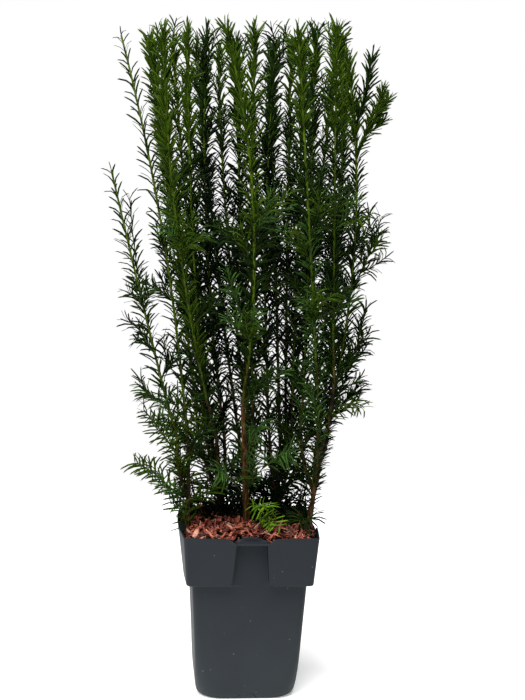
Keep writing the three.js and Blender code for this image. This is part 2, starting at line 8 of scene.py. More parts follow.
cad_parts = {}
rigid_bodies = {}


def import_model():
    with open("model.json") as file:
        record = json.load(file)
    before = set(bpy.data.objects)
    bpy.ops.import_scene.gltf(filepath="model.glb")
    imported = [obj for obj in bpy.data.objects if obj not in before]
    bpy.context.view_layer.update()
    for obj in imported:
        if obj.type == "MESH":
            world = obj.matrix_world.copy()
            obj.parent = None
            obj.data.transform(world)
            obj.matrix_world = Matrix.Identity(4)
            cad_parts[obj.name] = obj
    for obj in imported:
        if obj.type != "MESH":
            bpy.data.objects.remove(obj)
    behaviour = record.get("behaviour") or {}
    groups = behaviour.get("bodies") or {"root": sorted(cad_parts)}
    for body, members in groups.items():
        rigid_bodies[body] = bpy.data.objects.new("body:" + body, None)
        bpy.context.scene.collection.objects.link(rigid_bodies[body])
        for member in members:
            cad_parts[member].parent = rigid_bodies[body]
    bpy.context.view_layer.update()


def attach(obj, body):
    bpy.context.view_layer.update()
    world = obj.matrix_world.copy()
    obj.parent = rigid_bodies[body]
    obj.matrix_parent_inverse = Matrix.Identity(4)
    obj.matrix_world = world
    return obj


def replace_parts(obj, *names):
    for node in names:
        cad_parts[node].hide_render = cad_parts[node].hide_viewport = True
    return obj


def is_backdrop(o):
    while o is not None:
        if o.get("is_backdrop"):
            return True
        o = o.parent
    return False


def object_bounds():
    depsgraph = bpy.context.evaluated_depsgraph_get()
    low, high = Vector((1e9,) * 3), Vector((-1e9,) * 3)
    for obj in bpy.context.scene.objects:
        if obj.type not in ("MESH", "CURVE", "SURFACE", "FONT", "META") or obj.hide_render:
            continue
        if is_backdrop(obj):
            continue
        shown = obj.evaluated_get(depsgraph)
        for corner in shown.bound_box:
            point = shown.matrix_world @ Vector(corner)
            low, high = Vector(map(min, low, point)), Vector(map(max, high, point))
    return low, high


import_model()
MM = 0.001

# The pot
# A square growing container for a young tree, injection moulded in one skin of grey-black plastic.
# A stepped collar stiffens its rim, each side has a hand grip pressed in under a thin bar, and the
# rounded foot has an arched drain opening in the middle of each side.
POT_HEIGHT = 305
SKIN = 2.6
FLOOR = 3
# Outside of the body: height, half width, corner radius, outward bow of a side.
BODY = [
    (0, 83.6, 44, 0),
    (1, 85.6, 44, 0),
    (3, 87.4, 43, 0),
    (6, 88.8, 42, 0),
    (11, 90.2, 40, 0),
    (18, 91.3, 37.5, 0),
    (30, 92.2, 31, 0),
    (45, 93, 24, 0),
    (60, 93.7, 18.5, 0.4),
    (80, 94.5, 14, 1),
    (213, 102.33, 11, 2),
]
# The step under the collar, then the collar up to where the rim begins.
STEP = [
    (213.7, 102.5, 11, 2),
    (214.1, 103.4, 10.8, 2),
    (215.6, 110.9, 9.4, 3),
    (216.0, 112.0, 9.2, 3),
    (216.8, 112.8, 9.1, 3),
    (218.4, 113.15, 9, 3.1),
]
RIM = (POT_HEIGHT, 120, 8, 7)
PROFILE = np.array(BODY + STEP + [RIM], float)
# The grips: foot, half width at the top and low down, rounding of the lower corners, pressed face.
GRIP_LOW = 217
GRIP_HALF_TOP = 27
GRIP_HALF_LOW = 33
GRIP_ROUNDING = 7
GRIP_FACE = 106.3
# The bar over a grip, the arch of the rim over the bar, and the dip of the rim beside the arch.
BAR_LOW = 292.5
BAR_TOP = 296
ARCH_FOOT = BAR_TOP + 0.6
ARCH_RISE = 7
DIP_HALF = 43
RIM_EASE = 1.2
# Turn of the skin into the grip: way past the grip's edge, share of the depth, rounding in mm.
TURN = [(2.2, 0, 0), (1.2, 0, 0), (0.35, 0, 0.35), (0, 0, 1.2)]
TURN += [(-0.3, 1, -1.2), (-0.65, 1, -0.35), (-1.6, 1, 0)]
TURN_DEPTH = 2.4
PANEL_STEPS = 13
GRIP_STEPS = 22
CORNER_STEPS = 11
# The four sides, as the cosine and sine of each one's turn.
SIDES = ((1, 0), (0, 1), (-1, 0), (0, -1))


def clamp(value):
    return max(0.0, min(1.0, value))


def grip_edge(z):
    """Half the grip's width, which flares out in a round towards its foot."""
    low = np.interp(z, [GRIP_LOW, BAR_LOW], [GRIP_HALF_LOW, GRIP_HALF_TOP])
    flare = clamp((GRIP_LOW + 1 + GRIP_ROUNDING - z) / GRIP_ROUNDING)
    return low + GRIP_ROUNDING * (1 - math.sqrt(1 - flare * flare))


def rim_height(x):
    t = clamp((DIP_HALF - abs(x)) / (DIP_HALF - GRIP_HALF_TOP))
    return POT_HEIGHT - (POT_HEIGHT - ARCH_FOOT) * t * t * (3 - 2 * t)


def arch_height(x):
    return ARCH_FOOT + ARCH_RISE * max(0.0, math.cos(math.pi * x / (2 * GRIP_HALF_TOP)))


def outside(z):
    """Half width, corner radius and bow of the pot at a height."""
    return [np.interp(z, PROFILE[:, 0], PROFILE[:, k]) for k in (1, 2, 3)]


def skin_ring(size, height, edge, face, face_height, inset=0.0):
    """One ring round the pot. height and face_height give z over x, beside the grip and in it, and
    face gives the grip's depth from the depth of the collar."""
    half, corner, bow = size
    half, corner, edge = half - inset, corner - inset, edge + inset
    flat = half - corner

    def depth(x):
        return half + bow * math.cos(math.pi * x / (2 * flat))

    near = []
    for i in range(PANEL_STEPS):
        x = -flat + (flat - edge - TURN[0][0]) * i / PANEL_STEPS
        near.append((x, depth(x), height(x)))
    for past, share, rounding in TURN:
        x = -(edge + past)
        outer, inner = depth(x), face(depth(x)) - inset
        d = (inner if share else outer) - rounding * clamp((outer - inner) / TURN_DEPTH)
        near.append((x, d, face_height(x) if share else height(x)))
    middle = []
    reach = edge + TURN[-1][0]
    for i in range(1, GRIP_STEPS):
        x = -reach + 2 * reach * i / GRIP_STEPS
        middle.append((x, face(depth(x)) - inset, face_height(x)))
    side = near + middle + [(-x, d, z) for x, d, z in reversed(near)]
    for i in range(1, CORNER_STEPS):
        a = math.pi * i / (2 * CORNER_STEPS)
        x, d = flat + corner * math.sin(a), flat + corner * math.cos(a)
        side.append((x, d, height(x)))
    return [(x * c + d * s, x * s - d * c, z) for c, s in SIDES for x, d, z in side]


def level(z):
    return lambda x: z


def ring_at(z, edge, face, inset=0.0, low=None, width_at=None):
    """A level ring at z, as wide as the pot is at width_at, with its pressed part at height low."""
    size = outside(z if width_at is None else width_at)
    return skin_ring(size, level(z), edge, face, level(z if low is None else low), inset)


def in_scene(name, mesh):
    piece = bpy.data.objects.new(name, mesh)
    bpy.context.scene.collection.objects.link(piece)
    return piece


def made_mesh(name, points, faces, edges=(), unit=MM):
    mesh = bpy.data.meshes.new(name)
    mesh.from_pydata([[c * unit for c in p] for p in points], edges, faces)
    return mesh


def bands(n, count, start=0):
    """The faces between rings of n points each, one band from every ring to the next."""
    pairs = [(i, (i + 1) % n) for i in range(n)]
    lows = range(start, start + n * count, n)
    return [(low + i, low + j, low + n + j, low + n + i) for low in lows for i, j in pairs]


def caps(n, count, start=0):
    """The two faces that close such a skin."""
    first = tuple(start + i for i in range(n - 1, -1, -1))
    return first, tuple(start + n * count + i for i in range(n))


def loft(rings, name):
    """A closed skin through rings of the same count."""
    n, count = len(rings[0]), len(rings) - 1
    foot, top = caps(n, count)
    points = [p for ring in rings for p in ring]
    return in_scene(name, made_mesh(name, points, [foot] + bands(n, count) + [top]))


def plain_mesh(piece):
    """The mesh that a piece's modifiers make of it, which are then removed."""
    mesh = bpy.data.meshes.new_from_object(piece.evaluated_get(bpy.context.evaluated_depsgraph_get()))
    piece.modifiers.clear()
    return mesh


def settle(piece, material, angle=40):
    """Gives a finished piece its material and place on the part's only body."""
    piece.data.materials.clear()
    piece.data.materials.append(material)
    piece.data.shade_smooth()
    if angle:
        piece.data.set_sharp_from_angle(angle=math.radians(angle))
    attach(piece, "root")
    return piece


wide = lambda depth: depth
pressed = lambda depth: GRIP_FACE
heights = [0, 0.4, 1, 1.8, 3, 4.5, 6, 8.5, 11, 14, 18, 23, 30, 37, 45, 52, 60, 70, 80]
heights += list(np.linspace(80, 213, 18)[1:])
rings = [ring_at(z, grip_edge(GRIP_LOW), wide) for z in heights]
# Under a grip the step is lower and stands out less: its height and how far it stands out.
LEDGE_FACE = 104.2
LEDGE = [(213.9, 0.2), (214.6, 0.5), (215.0, 1.3), (215.4, 1.9), (216.2, 2.1), (218, 2.1)]
for (z, *_), (low, proud) in zip(STEP, LEDGE):
    face = lambda depth: min(depth, LEDGE_FACE + proud)
    rings.append(ring_at(z, grip_edge(GRIP_LOW), face, low=low))
for z in [219.2, 220, 221, 222.2, 223.6, 225.4, 228, 233] + list(np.linspace(238, 290.5, 15)):
    rings.append(ring_at(z, grip_edge(z), pressed))
# The bar over the grip: up its back, out under it, up its front and in over its top to the arch.
BAR = [
    (291.5, 291.5, lambda d: GRIP_FACE),
    (292.0, 292.2, lambda d: GRIP_FACE + 0.35),
    (292.3, 292.5, lambda d: GRIP_FACE + 1.2),
    (292.6, 292.5, lambda d: d - 1.0),
    (292.9, 292.8, lambda d: d - 0.3),
    (293.5, 293.5, lambda d: d),
    (294.2, 294.9, lambda d: d),
]
for z, low, face in BAR:
    rings.append(ring_at(z, GRIP_HALF_TOP, face, low=low))
# Over the bar the rings rise to the rim: share of the rise, height of the bar there, way in from it.
BAR_SHOULDER = 294.2
for share, low, back in ((0.15, 295.7, 0.3), (0.4, 296, 1.0), (0.65, 296, 8.0), (0.9, 296, None)):
    rise = lambda x: BAR_SHOULDER + (rim_height(x) - RIM_EASE - BAR_SHOULDER) * share
    face = lambda d: d - back if back else GRIP_FACE + 1.2
    rings.append(skin_ring(outside(295 + 9 * share), rise, GRIP_HALF_TOP, face, level(low)))
for inset, drop in ((0, RIM_EASE), (0.35, 0.35), (1.3, 0), (2.25, 0.35), (SKIN, RIM_EASE)):
    rise = lambda x: rim_height(x) - drop
    arch = lambda x: max(BAR_TOP + 0.15, arch_height(x) - drop)
    rings.append(skin_ring(outside(304.5), rise, GRIP_HALF_TOP, pressed, arch, inset))
# Down the inside to the floor.
for z in (290, 275, 260, 245, 232, 225, 221):
    rings.append(ring_at(z, grip_edge(max(z, 225)), pressed, SKIN))
rings.append(ring_at(219.6, GRIP_HALF_LOW, pressed, SKIN, width_at=218.4))
rings.append(ring_at(216.6, GRIP_HALF_LOW, wide, SKIN, width_at=213))
for z in (200, 160, 120, 80, 60, 45, 30, 18, 11, 6):
    rings.append(ring_at(z, GRIP_HALF_LOW, wide, SKIN))
rings.append(ring_at(FLOOR, GRIP_HALF_LOW, wide, SKIN + 1))
pot = loft(rings, "square_pot")

# Drains: a tunnel with an arched top, through the skin of each side at the foot.
DRAIN_HALF = 17.5
DRAIN_HEIGHT = 12
DRAIN_STEPS = 16
outline = [(DRAIN_HALF, -3), (DRAIN_HALF, 0)]
for i in range(1, DRAIN_STEPS):
    a = math.pi * i / DRAIN_STEPS
    outline.append((DRAIN_HALF * math.cos(a), DRAIN_HEIGHT * math.sin(a)))
outline += [(-DRAIN_HALF, 0), (-DRAIN_HALF, -3)]
for c, s in SIDES:
    tunnel = loft([[(x * c + y * s, x * s - y * c, z) for x, z in outline] for y in (120, 70)], "drain")
    cut = pot.modifiers.new("drain", "BOOLEAN")
    cut.object, cut.solver, cut.operation = tunnel, "EXACT", "DIFFERENCE"
    pot.data = plain_mesh(pot)
    bpy.data.objects.remove(tunnel)


class Nodes:
    """Builds a node tree: each call adds a node, sets it up and feeds its inputs."""

    def __init__(self, tree):
        self.tree = tree

    def __call__(self, kind, setup=None, **inputs):
        node = self.tree.nodes.new(kind)
        for key, value in (setup or {}).items():
            setattr(node, key, value)
        self.feed(node, **inputs)
        return node

    def feed(self, node, **inputs):
        for key, value in inputs.items():
            names = key.replace("_", " "), key
            self.put(next(s for s in node.inputs if s.enabled and s.name in names), value)

    def put(self, socket, value):
        if isinstance(value, bpy.types.NodeSocket):
            self.tree.links.new(value, socket)
        else:
            socket.default_value = value


class Finish(Nodes):
    """A material whose look follows patterns over the piece's own coordinates."""

    def __init__(self, name, rough=0.5, sheen=0.5):
        self.material = bpy.data.materials.new(name)
        self.material.use_nodes = True
        super().__init__(self.material.node_tree)
        self.surface = self.tree.nodes["Principled BSDF"]
        self.feed(self.surface, Roughness=rough, Specular_IOR_Level=sheen)

    def grain(self, scale, detail, squash=None, kind="ShaderNodeTexNoise"):
        """A pattern, drawn out along an axis where asked."""
        place = self("ShaderNodeTexCoord").outputs["Object"]
        if squash:
            place = self("ShaderNodeMapping", Vector=place, Scale=squash).outputs["Vector"]
        return self(kind, Vector=place, Scale=scale, Detail=detail).outputs[0]

    def tones(self, pattern, *stops):
        """A colour ramp over a pattern, each stop a place and a colour."""
        node = self("ShaderNodeValToRGB", Fac=pattern)
        ramp = node.color_ramp.elements
        while len(ramp) < len(stops):
            ramp.new(0.5)
        for element, (place, colour) in zip(ramp, stops):
            element.position = place
            element.color = (*colour, 1)
        return node.outputs["Color"]

    def mix(self, a, b, factor=1.0, blend="MIX"):
        setup = {"data_type": "RGBA", "blend_type": blend}
        return self("ShaderNodeMix", setup, Factor=factor, A=a, B=b).outputs["Result"]

    def relief(self, pattern, strength, distance):
        bump = self("ShaderNodeBump", Strength=strength, Distance=distance, Height=pattern)
        self.feed(self.surface, Normal=bump.outputs["Normal"])

    def coat(self, pattern, stops, strength, distance):
        """Colour and relief that both follow one pattern."""
        self.feed(self.surface, Base_Color=self.tones(pattern, *stops))
        self.relief(pattern, strength, distance)
        return self.material


look = Finish("matt_grey_black_plastic", sheen=0.14)
cloud = look.grain(9, 6)
base = look.tones(cloud, (0.3, (0.0088, 0.0118, 0.0147)), (0.7, (0.0128, 0.0165, 0.0196)))
# Painted light and shade: the skin is painted lighter towards the foot and a little darker on the collar.
height = look("ShaderNodeSeparateXYZ", Vector=look("ShaderNodeTexCoord").outputs["Object"]).outputs["Z"]
height = look("ShaderNodeMapRange", Value=height, From_Min=0.0, From_Max=0.3).outputs["Result"]
painted_light_by_height = look.tones(height, (0, (1.5, 1.46, 1.4)), (0.55, (1.12, 1.12, 1.1)), (0.68, (0.95, 0.95, 0.97)))
painted_light_base = look.mix(base, painted_light_by_height, blend="MULTIPLY")
# A few pale specks of dust.
dust = look.grain(75, 0, kind="ShaderNodeTexVoronoi")
specks = look.tones(dust, (0, (1, 1, 1)), (0.055, (1, 1, 1)), (0.09, (0, 0, 0)))
few = look.tones(look.grain(38, 2), (0.53, (0, 0, 0)), (0.58, (0.5, 0.5, 0.5)))
speckled = look.mix(painted_light_base, (0.22, 0.22, 0.21, 1), look.mix(specks, few, blend="MULTIPLY"))
wear = look.tones(cloud, (0.3, (0.5, 0.5, 0.5)), (0.7, (0.62, 0.62, 0.62)))
look.feed(look.surface, Base_Color=speckled, Roughness=wear)
look.relief(look.grain(420, 3), 0.12, 0.0006)
moulded = look.material
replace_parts(settle(pot, moulded, 32), "pot")

# The root ball
# Moist peat mix that fills the pot to just under its rim, pressed by hand round the stems and
# shaped by the pot's inside, with a loose crumbly top.
SOIL_TOP = 291
SEAT = 0.3
rings = []
for z in (FLOOR + SEAT, 11, 30, 60, 120, 200):
    rings.append(ring_at(z, GRIP_HALF_LOW, wide, SKIN + SEAT + (1 if z < 5 else 0)))
rings.append(ring_at(217.2, GRIP_HALF_LOW, wide, SKIN + SEAT, width_at=213))
for z in (222, 240, 265, SOIL_TOP - 2):
    rings.append(ring_at(z, GRIP_HALF_LOW, pressed, SKIN + SEAT))
rim = np.array(rings[-1])
for share in (0.97, 0.93, 0.88, 0.82, 0.75, 0.67, 0.58, 0.48, 0.37, 0.25, 0.12):
    ring = rim * (share, share, 1)
    for p in ring:
        lump = 2.2 * noise.noise(Vector((p[0] * 0.045, p[1] * 0.045, 3)))
        crumb = 1.2 * noise.noise(Vector((p[0] * 0.17, p[1] * 0.17, 8)))
        p[2] = SOIL_TOP + lump + crumb
    rings.append(ring)
soil = loft(rings, "root_ball")
look = Finish("moist_peat", 0.95, 0.1)
peat = look.coat(look.grain(260, 6), [(0.3, (0.008, 0.005, 0.003)), (0.6, (0.03, 0.016, 0.009))], 0.8, 0.002)
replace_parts(settle(soil, peat, None), "soil_and_bark_chips")

# The bark mulch
# Shredded pine bark and wood, strewn two or three chips deep over the soil to keep weeds down.
# Curled chips and long splinters, from dark red-brown bark to pale heartwood.
CHIP_SHAPES = 9
CHIP_STEPS = 6
CHIP_SIDES = 6


def chip_mesh(name, draw):
    """A curled chip one unit long: split ends, uneven width, its grain along X."""
    splinter = draw.random() < 0.7
    width = draw.uniform(0.08, 0.17) if splinter else draw.uniform(0.22, 0.42)
    thick = draw.uniform(0.05, 0.085) if splinter else draw.uniform(0.06, 0.11)
    curl, sway = draw.uniform(-0.22, 0.3), draw.uniform(-0.12, 0.12)
    points = []
    for k in range(CHIP_STEPS + 1):
        t = k / CHIP_STEPS
        swell = 0.35 + 0.65 * math.sin(math.pi * (0.12 + 0.76 * t)) + draw.uniform(-0.12, 0.12)
        w = width * swell / 2
        h = thick * (0.45 + 0.55 * math.sin(math.pi * (0.1 + 0.8 * t))) / 2
        y = sway * math.sin(math.pi * t) + draw.uniform(-0.015, 0.015)
        z = curl * (t - 0.5) ** 2 * 2
        twist = draw.uniform(-0.02, 0.02)
        cup = 0.25 * w
        lower = ((-w, -h + cup), (0, -h), (w, -h + cup))
        upper = ((w * 0.94, h + cup), (0, h), (-w * 0.94, h + cup))
        for dy, dz in lower + upper:
            x = t - 0.5 + (0.04 if dy > 0 else -0.02) * (t - 0.5)
            points.append((x, y + dy, z + dz + twist * dy / max(w, 0.01)))
    faces = [(a, d, c, b) for a, b, c, d in bands(CHIP_SIDES, CHIP_STEPS)]
    faces += [cap[::-1] for cap in caps(CHIP_SIDES, CHIP_STEPS)]
    return bpy.data.objects.new(name, made_mesh(name, points, faces, unit=1))


class Tree(Nodes):
    """A tree of geometry nodes with named inputs, run once on a host for a plain mesh."""

    def __init__(self, name, **inputs):
        super().__init__(bpy.data.node_groups.new(name, "GeometryNodeTree"))
        ends = self.tree.interface
        ends.new_socket("Geometry", in_out="INPUT", socket_type="NodeSocketGeometry")
        ends.new_socket("Geometry", in_out="OUTPUT", socket_type="NodeSocketGeometry")
        self.ids = {}
        for label, kind in inputs.items():
            socket = ends.new_socket(label, in_out="INPUT", socket_type="NodeSocket" + kind)
            self.ids[label] = socket.identifier
        self.entry = self.tree.nodes.new("NodeGroupInput")

    def math(self, operation, *values, kind="ShaderNodeMath"):
        node = self(kind, {"operation": operation})
        for socket, value in zip(node.inputs, values):
            self.put(socket, value)
        return node.outputs[0]

    def vector(self, operation, *values):
        return self.math(operation, *values, kind="ShaderNodeVectorMath")

    def scaled(self, vector, factor):
        setup = {"operation": "SCALE"}
        return self("ShaderNodeVectorMath", setup, Vector=vector, Scale=factor).outputs[0]

    def random(self, low, high, seed, kind="FLOAT"):
        node = self("FunctionNodeRandomValue", {"data_type": kind}, Min=low, Max=high, Seed=seed)
        return next(s for s in node.outputs if s.enabled)

    def attribute(self, name, kind="FLOAT"):
        node = self("GeometryNodeInputNamedAttribute", {"data_type": kind}, Name=name)
        return node.outputs["Attribute"]

    def finish(self, geometry, material):
        real = self("GeometryNodeRealizeInstances", Geometry=geometry)
        done = self("GeometryNodeSetMaterial", Geometry=real.outputs[0], Material=material)
        self("NodeGroupOutput", Geometry=done.outputs[0])

    def make(self, host, name, **values):
        step = host.modifiers.new(name, "NODES")
        step.node_group = self.tree
        for label, value in values.items():
            step[self.ids[label]] = value
        host.update_tag()
        bpy.context.view_layer.update()
        mesh = plain_mesh(host)
        mesh.name = name
        return in_scene(name, mesh)


def shapes(name, members):
    """A set of shapes for a tree to pick from, not in the scene itself."""
    group = bpy.data.collections.new(name)
    for member in members:
        group.objects.link(member)
    return group


draw = np.random.default_rng(41)
chip_set = shapes("chip_shapes", [chip_mesh(f"chip_{i}", draw) for i in range(CHIP_SHAPES)])

floats = dict.fromkeys(("Spacing", "Chip_length", "Depth", "Tumble"), "Float")
strew = Tree("strew", **floats, Seed="Int", Material="Material")
inp = strew.entry.outputs
spread = strew(
    "GeometryNodeDistributePointsOnFaces",
    {"distribute_method": "POISSON"},
    Mesh=inp["Geometry"],
    Distance_Min=inp["Spacing"],
    Density_Max=60000.0,
    Seed=inp["Seed"],
)
lift = strew("ShaderNodeCombineXYZ", Z=strew.random(0.0, inp["Depth"], inp["Seed"]))
raised = strew("GeometryNodeSetPosition", Geometry=spread.outputs["Points"], Offset=lift.outputs[0])
tilt = strew.math("MULTIPLY", strew.random(-1.0, 1.0, 3), inp["Tumble"])
roll = strew.math("MULTIPLY", strew.random(-1.0, 1.0, 4), inp["Tumble"])
turned = strew("ShaderNodeCombineXYZ", X=roll, Y=tilt, Z=strew.random(0.0, 6.283, 5))
spin = strew("FunctionNodeEulerToRotation", Euler=turned.outputs[0])
size = strew.math("MULTIPLY", strew.random(0.5, 1.4, 6), inp["Chip_length"])
pick = strew("GeometryNodeCollectionInfo", Collection=chip_set, Separate_Children=True)
placed = strew(
    "GeometryNodeInstanceOnPoints",
    Points=raised.outputs[0],
    Instance=pick.outputs[0],
    Pick_Instance=True,
    Instance_Index=strew.random(0, CHIP_SHAPES - 1, 7, "INT"),
    Rotation=spin.outputs[0],
    Scale=size,
)
strew.finish(placed.outputs[0], inp["Material"])

# The bed that the chips lie on: level, a little over the soil, and set in from the skin.
BED = SOIL_TOP + 2.5
bed_shares = (0.95, 0.8, 0.6, 0.4, 0.2, 0.02)
points = [(x * share, y * share, BED) for share in bed_shares for x, y, z in rim]
bed = in_scene("bed", made_mesh("bed", points, bands(len(rim), len(bed_shares) - 1)))

# name, dark and light chip colours over a noise, spacing, length, depth of the layer, tumble, seed
CHIPS = [
    ("chips_red_brown", (0.07, 0.015, 0.012), (0.31, 0.082, 0.061), 0.0062, 0.024, 0.014, 0.9, 11),
    # Dark bark chips, set close: real dark bark, and painted shade standing in for the dark hollows between
    # the chips.
    ("chips_dark_bark", (0.016, 0.006, 0.004), (0.075, 0.026, 0.017), 0.0070, 0.023, 0.014, 0.85, 12),
    ("chips_orange_wood", (0.19, 0.042, 0.022), (0.43, 0.135, 0.072), 0.0110, 0.026, 0.016, 0.8, 13),
    ("chips_pale_wood", (0.22, 0.085, 0.058), (0.46, 0.25, 0.175), 0.0120, 0.021, 0.017, 0.8, 14),
]
# The inside of the skin as half widths, behind a grip and beside it, and half a grip's breadth there.
INSIDE_GRIP = GRIP_FACE - SKIN - 0.6
INSIDE = 116.2 - SKIN
BEHIND_GRIP = 31
for name, dark, light, spacing, length, depth, tumble, seed in CHIPS:
    look = Finish(name, 0.8, 0.1)
    material = look.coat(look.grain(300, 5), [(0.32, dark), (0.68, light)], 0.6, 0.0012)
    values = {"Spacing": spacing, "Chip_length": length, "Depth": depth, "Tumble": tumble, "Seed": seed}
    chips = strew.make(bed, name, Material=material, **values)
    co = np.empty(len(chips.data.vertices) * 3)
    chips.data.vertices.foreach_get("co", co)
    co = co.reshape(-1, 3)
    # Chips that meet the skin bend back along it.
    for axis, other in ((0, 1), (1, 0)):
        limit = np.where(np.abs(co[:, other]) < BEHIND_GRIP * MM, INSIDE_GRIP * MM, INSIDE * MM)
        co[:, axis] = np.clip(co[:, axis], -limit, limit)
    co[:, 2] = np.maximum(co[:, 2], (SOIL_TOP - 3) * MM)
    chips.data.vertices.foreach_set("co", co.ravel())
    chips.data.update()
    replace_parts(settle(chips, material, None), "soil_and_bark_chips")
bpy.data.objects.remove(bed)

# The wood
# Six young trunks rise from one root, cut off from view at the soil, each with a slight lean and a
# flared foot. Twelve boughs leave them. The bark is thin, red-brown and flaky.
SOIL = 292
TRUNK_RINGS = 5
BOUGH_RINGS = 3
BOUGH_TIP = 2.9
FLARE = 0.75
FLARE_HEIGHT = 14
# name, foot x y, tip x y z, bow x y, foot radius, tip radius
TRUNKS = [
    ("trunk_centre", 0, -14, -16, -45, 526, 0, 2, 6.8, 3.6),
    ("trunk_right", 107, -43, 123, -15, 536, 7, 2, 4.6, 3.1),
    ("trunk_left", -110, -43, -112, -36, 450, 1, 0, 4.4, 3.2),
    ("trunk_mid_left", -42, 42, -58, 8, 450, 0, 5, 6, 3.6),
    ("trunk_back", 4, 68, 12, 84, 436, 0, -4, 5.6, 3.6),
    ("trunk_back_right", 58, 50, 76, 74, 440, -4, 4, 6, 3.6),
]
# name, trunk it leaves, share up it, tip x y z, bow x y, foot radius
BOUGHS = [
    ("bough_low_left", "trunk_left", 0.5, -132, -58, 462, -6, -6, 3.6),
    ("bough_left", "trunk_mid_left", 0.42, -88, 34, 452, -5, 4, 4),
    ("bough_inner_left", "trunk_mid_left", 0.66, -80, 12, 470, -4, 4, 3.8),
    ("bough_mid_left", "trunk_mid_left", 0.36, -42, 38, 450, 4, 0, 3.8),
    ("bough_centre", "trunk_centre", 0.4, 8, 2, 450, 5, 2, 4),
    ("bough_mid_right", "trunk_back_right", 0.36, 42, 34, 448, -2, -5, 4),
    ("bough_inner_right", "trunk_right", 0.42, 96, 4, 460, -4, 4, 3.3),
    ("bough_right", "trunk_right", 0.62, 146, -42, 560, 5, -3, 3.2),
    ("bough_far_right", "trunk_right", 0.38, 134, 34, 458, 7, 6, 3.4),
    ("bough_outer_right", "trunk_right", 0.55, 144, -10, 500, 6, 0, 3.4),
    ("bough_back_inner_right", "trunk_back_right", 0.55, 82, 46, 450, 4, -5, 3.6),
    ("bough_back_outer_right", "trunk_back_right", 0.3, 118, 84, 442, 5, 3, 3.6),
]


def spot(*values):
    return np.array(values, float)


def unit(way):
    return way / np.linalg.norm(way)


def steps_of(line):
    return np.linalg.norm(np.diff(line, axis=0), axis=1)


def curve(foot, tip, bow, steps):
    """Points of a bend from foot to tip that passes beside the straight line by the bow."""
    middle = (foot + tip) / 2 + 2 * bow
    t = np.linspace(0, 1, steps + 1)[:, None]
    return (1 - t) ** 2 * foot + 2 * t * (1 - t) * middle + t * t * tip


def along(points, share):
    """The place at a share of a line, and its heading there."""
    place = share * (len(points) - 1)
    k = min(int(place), len(points) - 2)
    step = points[k + 1] - points[k]
    return points[k] + step * (place - k), unit(step)


def smooth_line(points, spacing):
    """The same line at even small steps, its bends rounded off."""
    lengths = np.concatenate([[0], np.cumsum(steps_of(points))])
    count = max(3, int(round(lengths[-1] / spacing)))
    padded = np.vstack([2 * points[0] - points[1], points, 2 * points[-1] - points[-2]])
    result = []
    for reach in np.linspace(0, lengths[-1], count + 1):
        k = min(max(int(np.searchsorted(lengths, reach)) - 1, 0), len(points) - 2)
        t = (reach - lengths[k]) / (lengths[k + 1] - lengths[k])
        a, b, c, d = padded[k : k + 4]
        first, second, third = c - a, 2 * a - 5 * b + 4 * c - d, 3 * b - a - 3 * c + d
        result.append(0.5 * (2 * b + first * t + second * t**2 + third * t**3))
    return np.array(result)


limbs = {}
for name, foot_x, foot_y, x, y, z, bow_x, bow_y, foot, tip in TRUNKS:
    points = curve(spot(foot_x, foot_y, SOIL + SEAT), spot(x, y, z), spot(bow_x, bow_y, 0), TRUNK_RINGS)
    first = points[0] + (points[1] - points[0]) * FLARE_HEIGHT * TRUNK_RINGS / (z - SOIL) / 2
    points = np.insert(points, 1, first, axis=0)
    limbs[name] = {"points": points, "foot": foot, "tip": tip, "flare": FLARE * foot}
for name, parent, share, x, y, z, bow_x, bow_y, foot in BOUGHS:
    start = along(limbs[parent]["points"], share)[0]
    points = curve(start, spot(x, y, z), spot(bow_x, bow_y, 0), BOUGH_RINGS)
    limbs[name] = {"points": points, "foot": foot, "tip": BOUGH_TIP, "flare": 0}

BARK_SIDES = 18
BARK_STEP = 2.2
RIDGE = 0.32
FLAKE = 0.34
# The height over which a stem's bark turns from old at its foot to its own age and painted shade.
AGEING = 60
verts, faces, age = [], [], []
for number, (name, limb) in enumerate(limbs.items()):
    line = smooth_line(limb["points"], BARK_STEP)
    # How young the wood is and how much painted shade darkens it: none on the front trunk, some on the other
    # trunks, most on the boughs.
    young = 0 if name == "trunk_centre" else 0.45 if name.startswith("trunk") else 0.9
    last = len(line) - 1
    start = len(verts)
    for k, p in enumerate(line):
        heading = unit(line[min(k + 1, last)] - line[max(k - 1, 0)])
        side = unit(np.cross(spot(1, 0, 0), heading))
        up = np.cross(heading, side)
        height = p[2] - SOIL
        girth = limb["foot"] + (limb["tip"] - limb["foot"]) * k / last
        for i in range(BARK_SIDES):
            a = 2 * math.pi * i / BARK_SIDES
            c, s = math.cos(a), math.sin(a)
            flare = limb["flare"] * math.exp(-height / FLARE_HEIGHT) * (0.75 + 0.25 * math.cos(3 * a))
            # Relief: long shallow ridges, loose flakes, and a knot now and then.
            around = Vector((c * 1.4, s * 1.4, p[2] * 0.055 + 9 * number))
            ridge = RIDGE * (1 - abs(noise.noise(around * 1.8)) * 2.4)
            flake = FLAKE * noise.noise(Vector((c * 3.5, s * 3.5, p[2] * 0.16 + 5 * number)))
            swell = noise.noise(Vector((number * 7.1, 0, p[2] * 0.035)))
            r = girth * (1 + 0.05 * swell) + flare + ridge * min(1, girth / 5) + flake
            # The foot is a little wider, so that it meets the chips all round.
            r += 0.4 if k == 0 else 0
            verts.append(p + side * (r * c) + up * (r * s))
            age.append(young * min(1, height / AGEING))
    faces += bands(BARK_SIDES, last, start) + list(caps(BARK_SIDES, last, start))
mesh = made_mesh("trunks_and_boughs", verts, faces)
mesh.attributes.new("young", "FLOAT", "POINT").data.foreach_set("value", age)
wood = in_scene("trunks_and_boughs", mesh)
look = Finish("flaky_red_brown_bark", 0.85, 0.08)
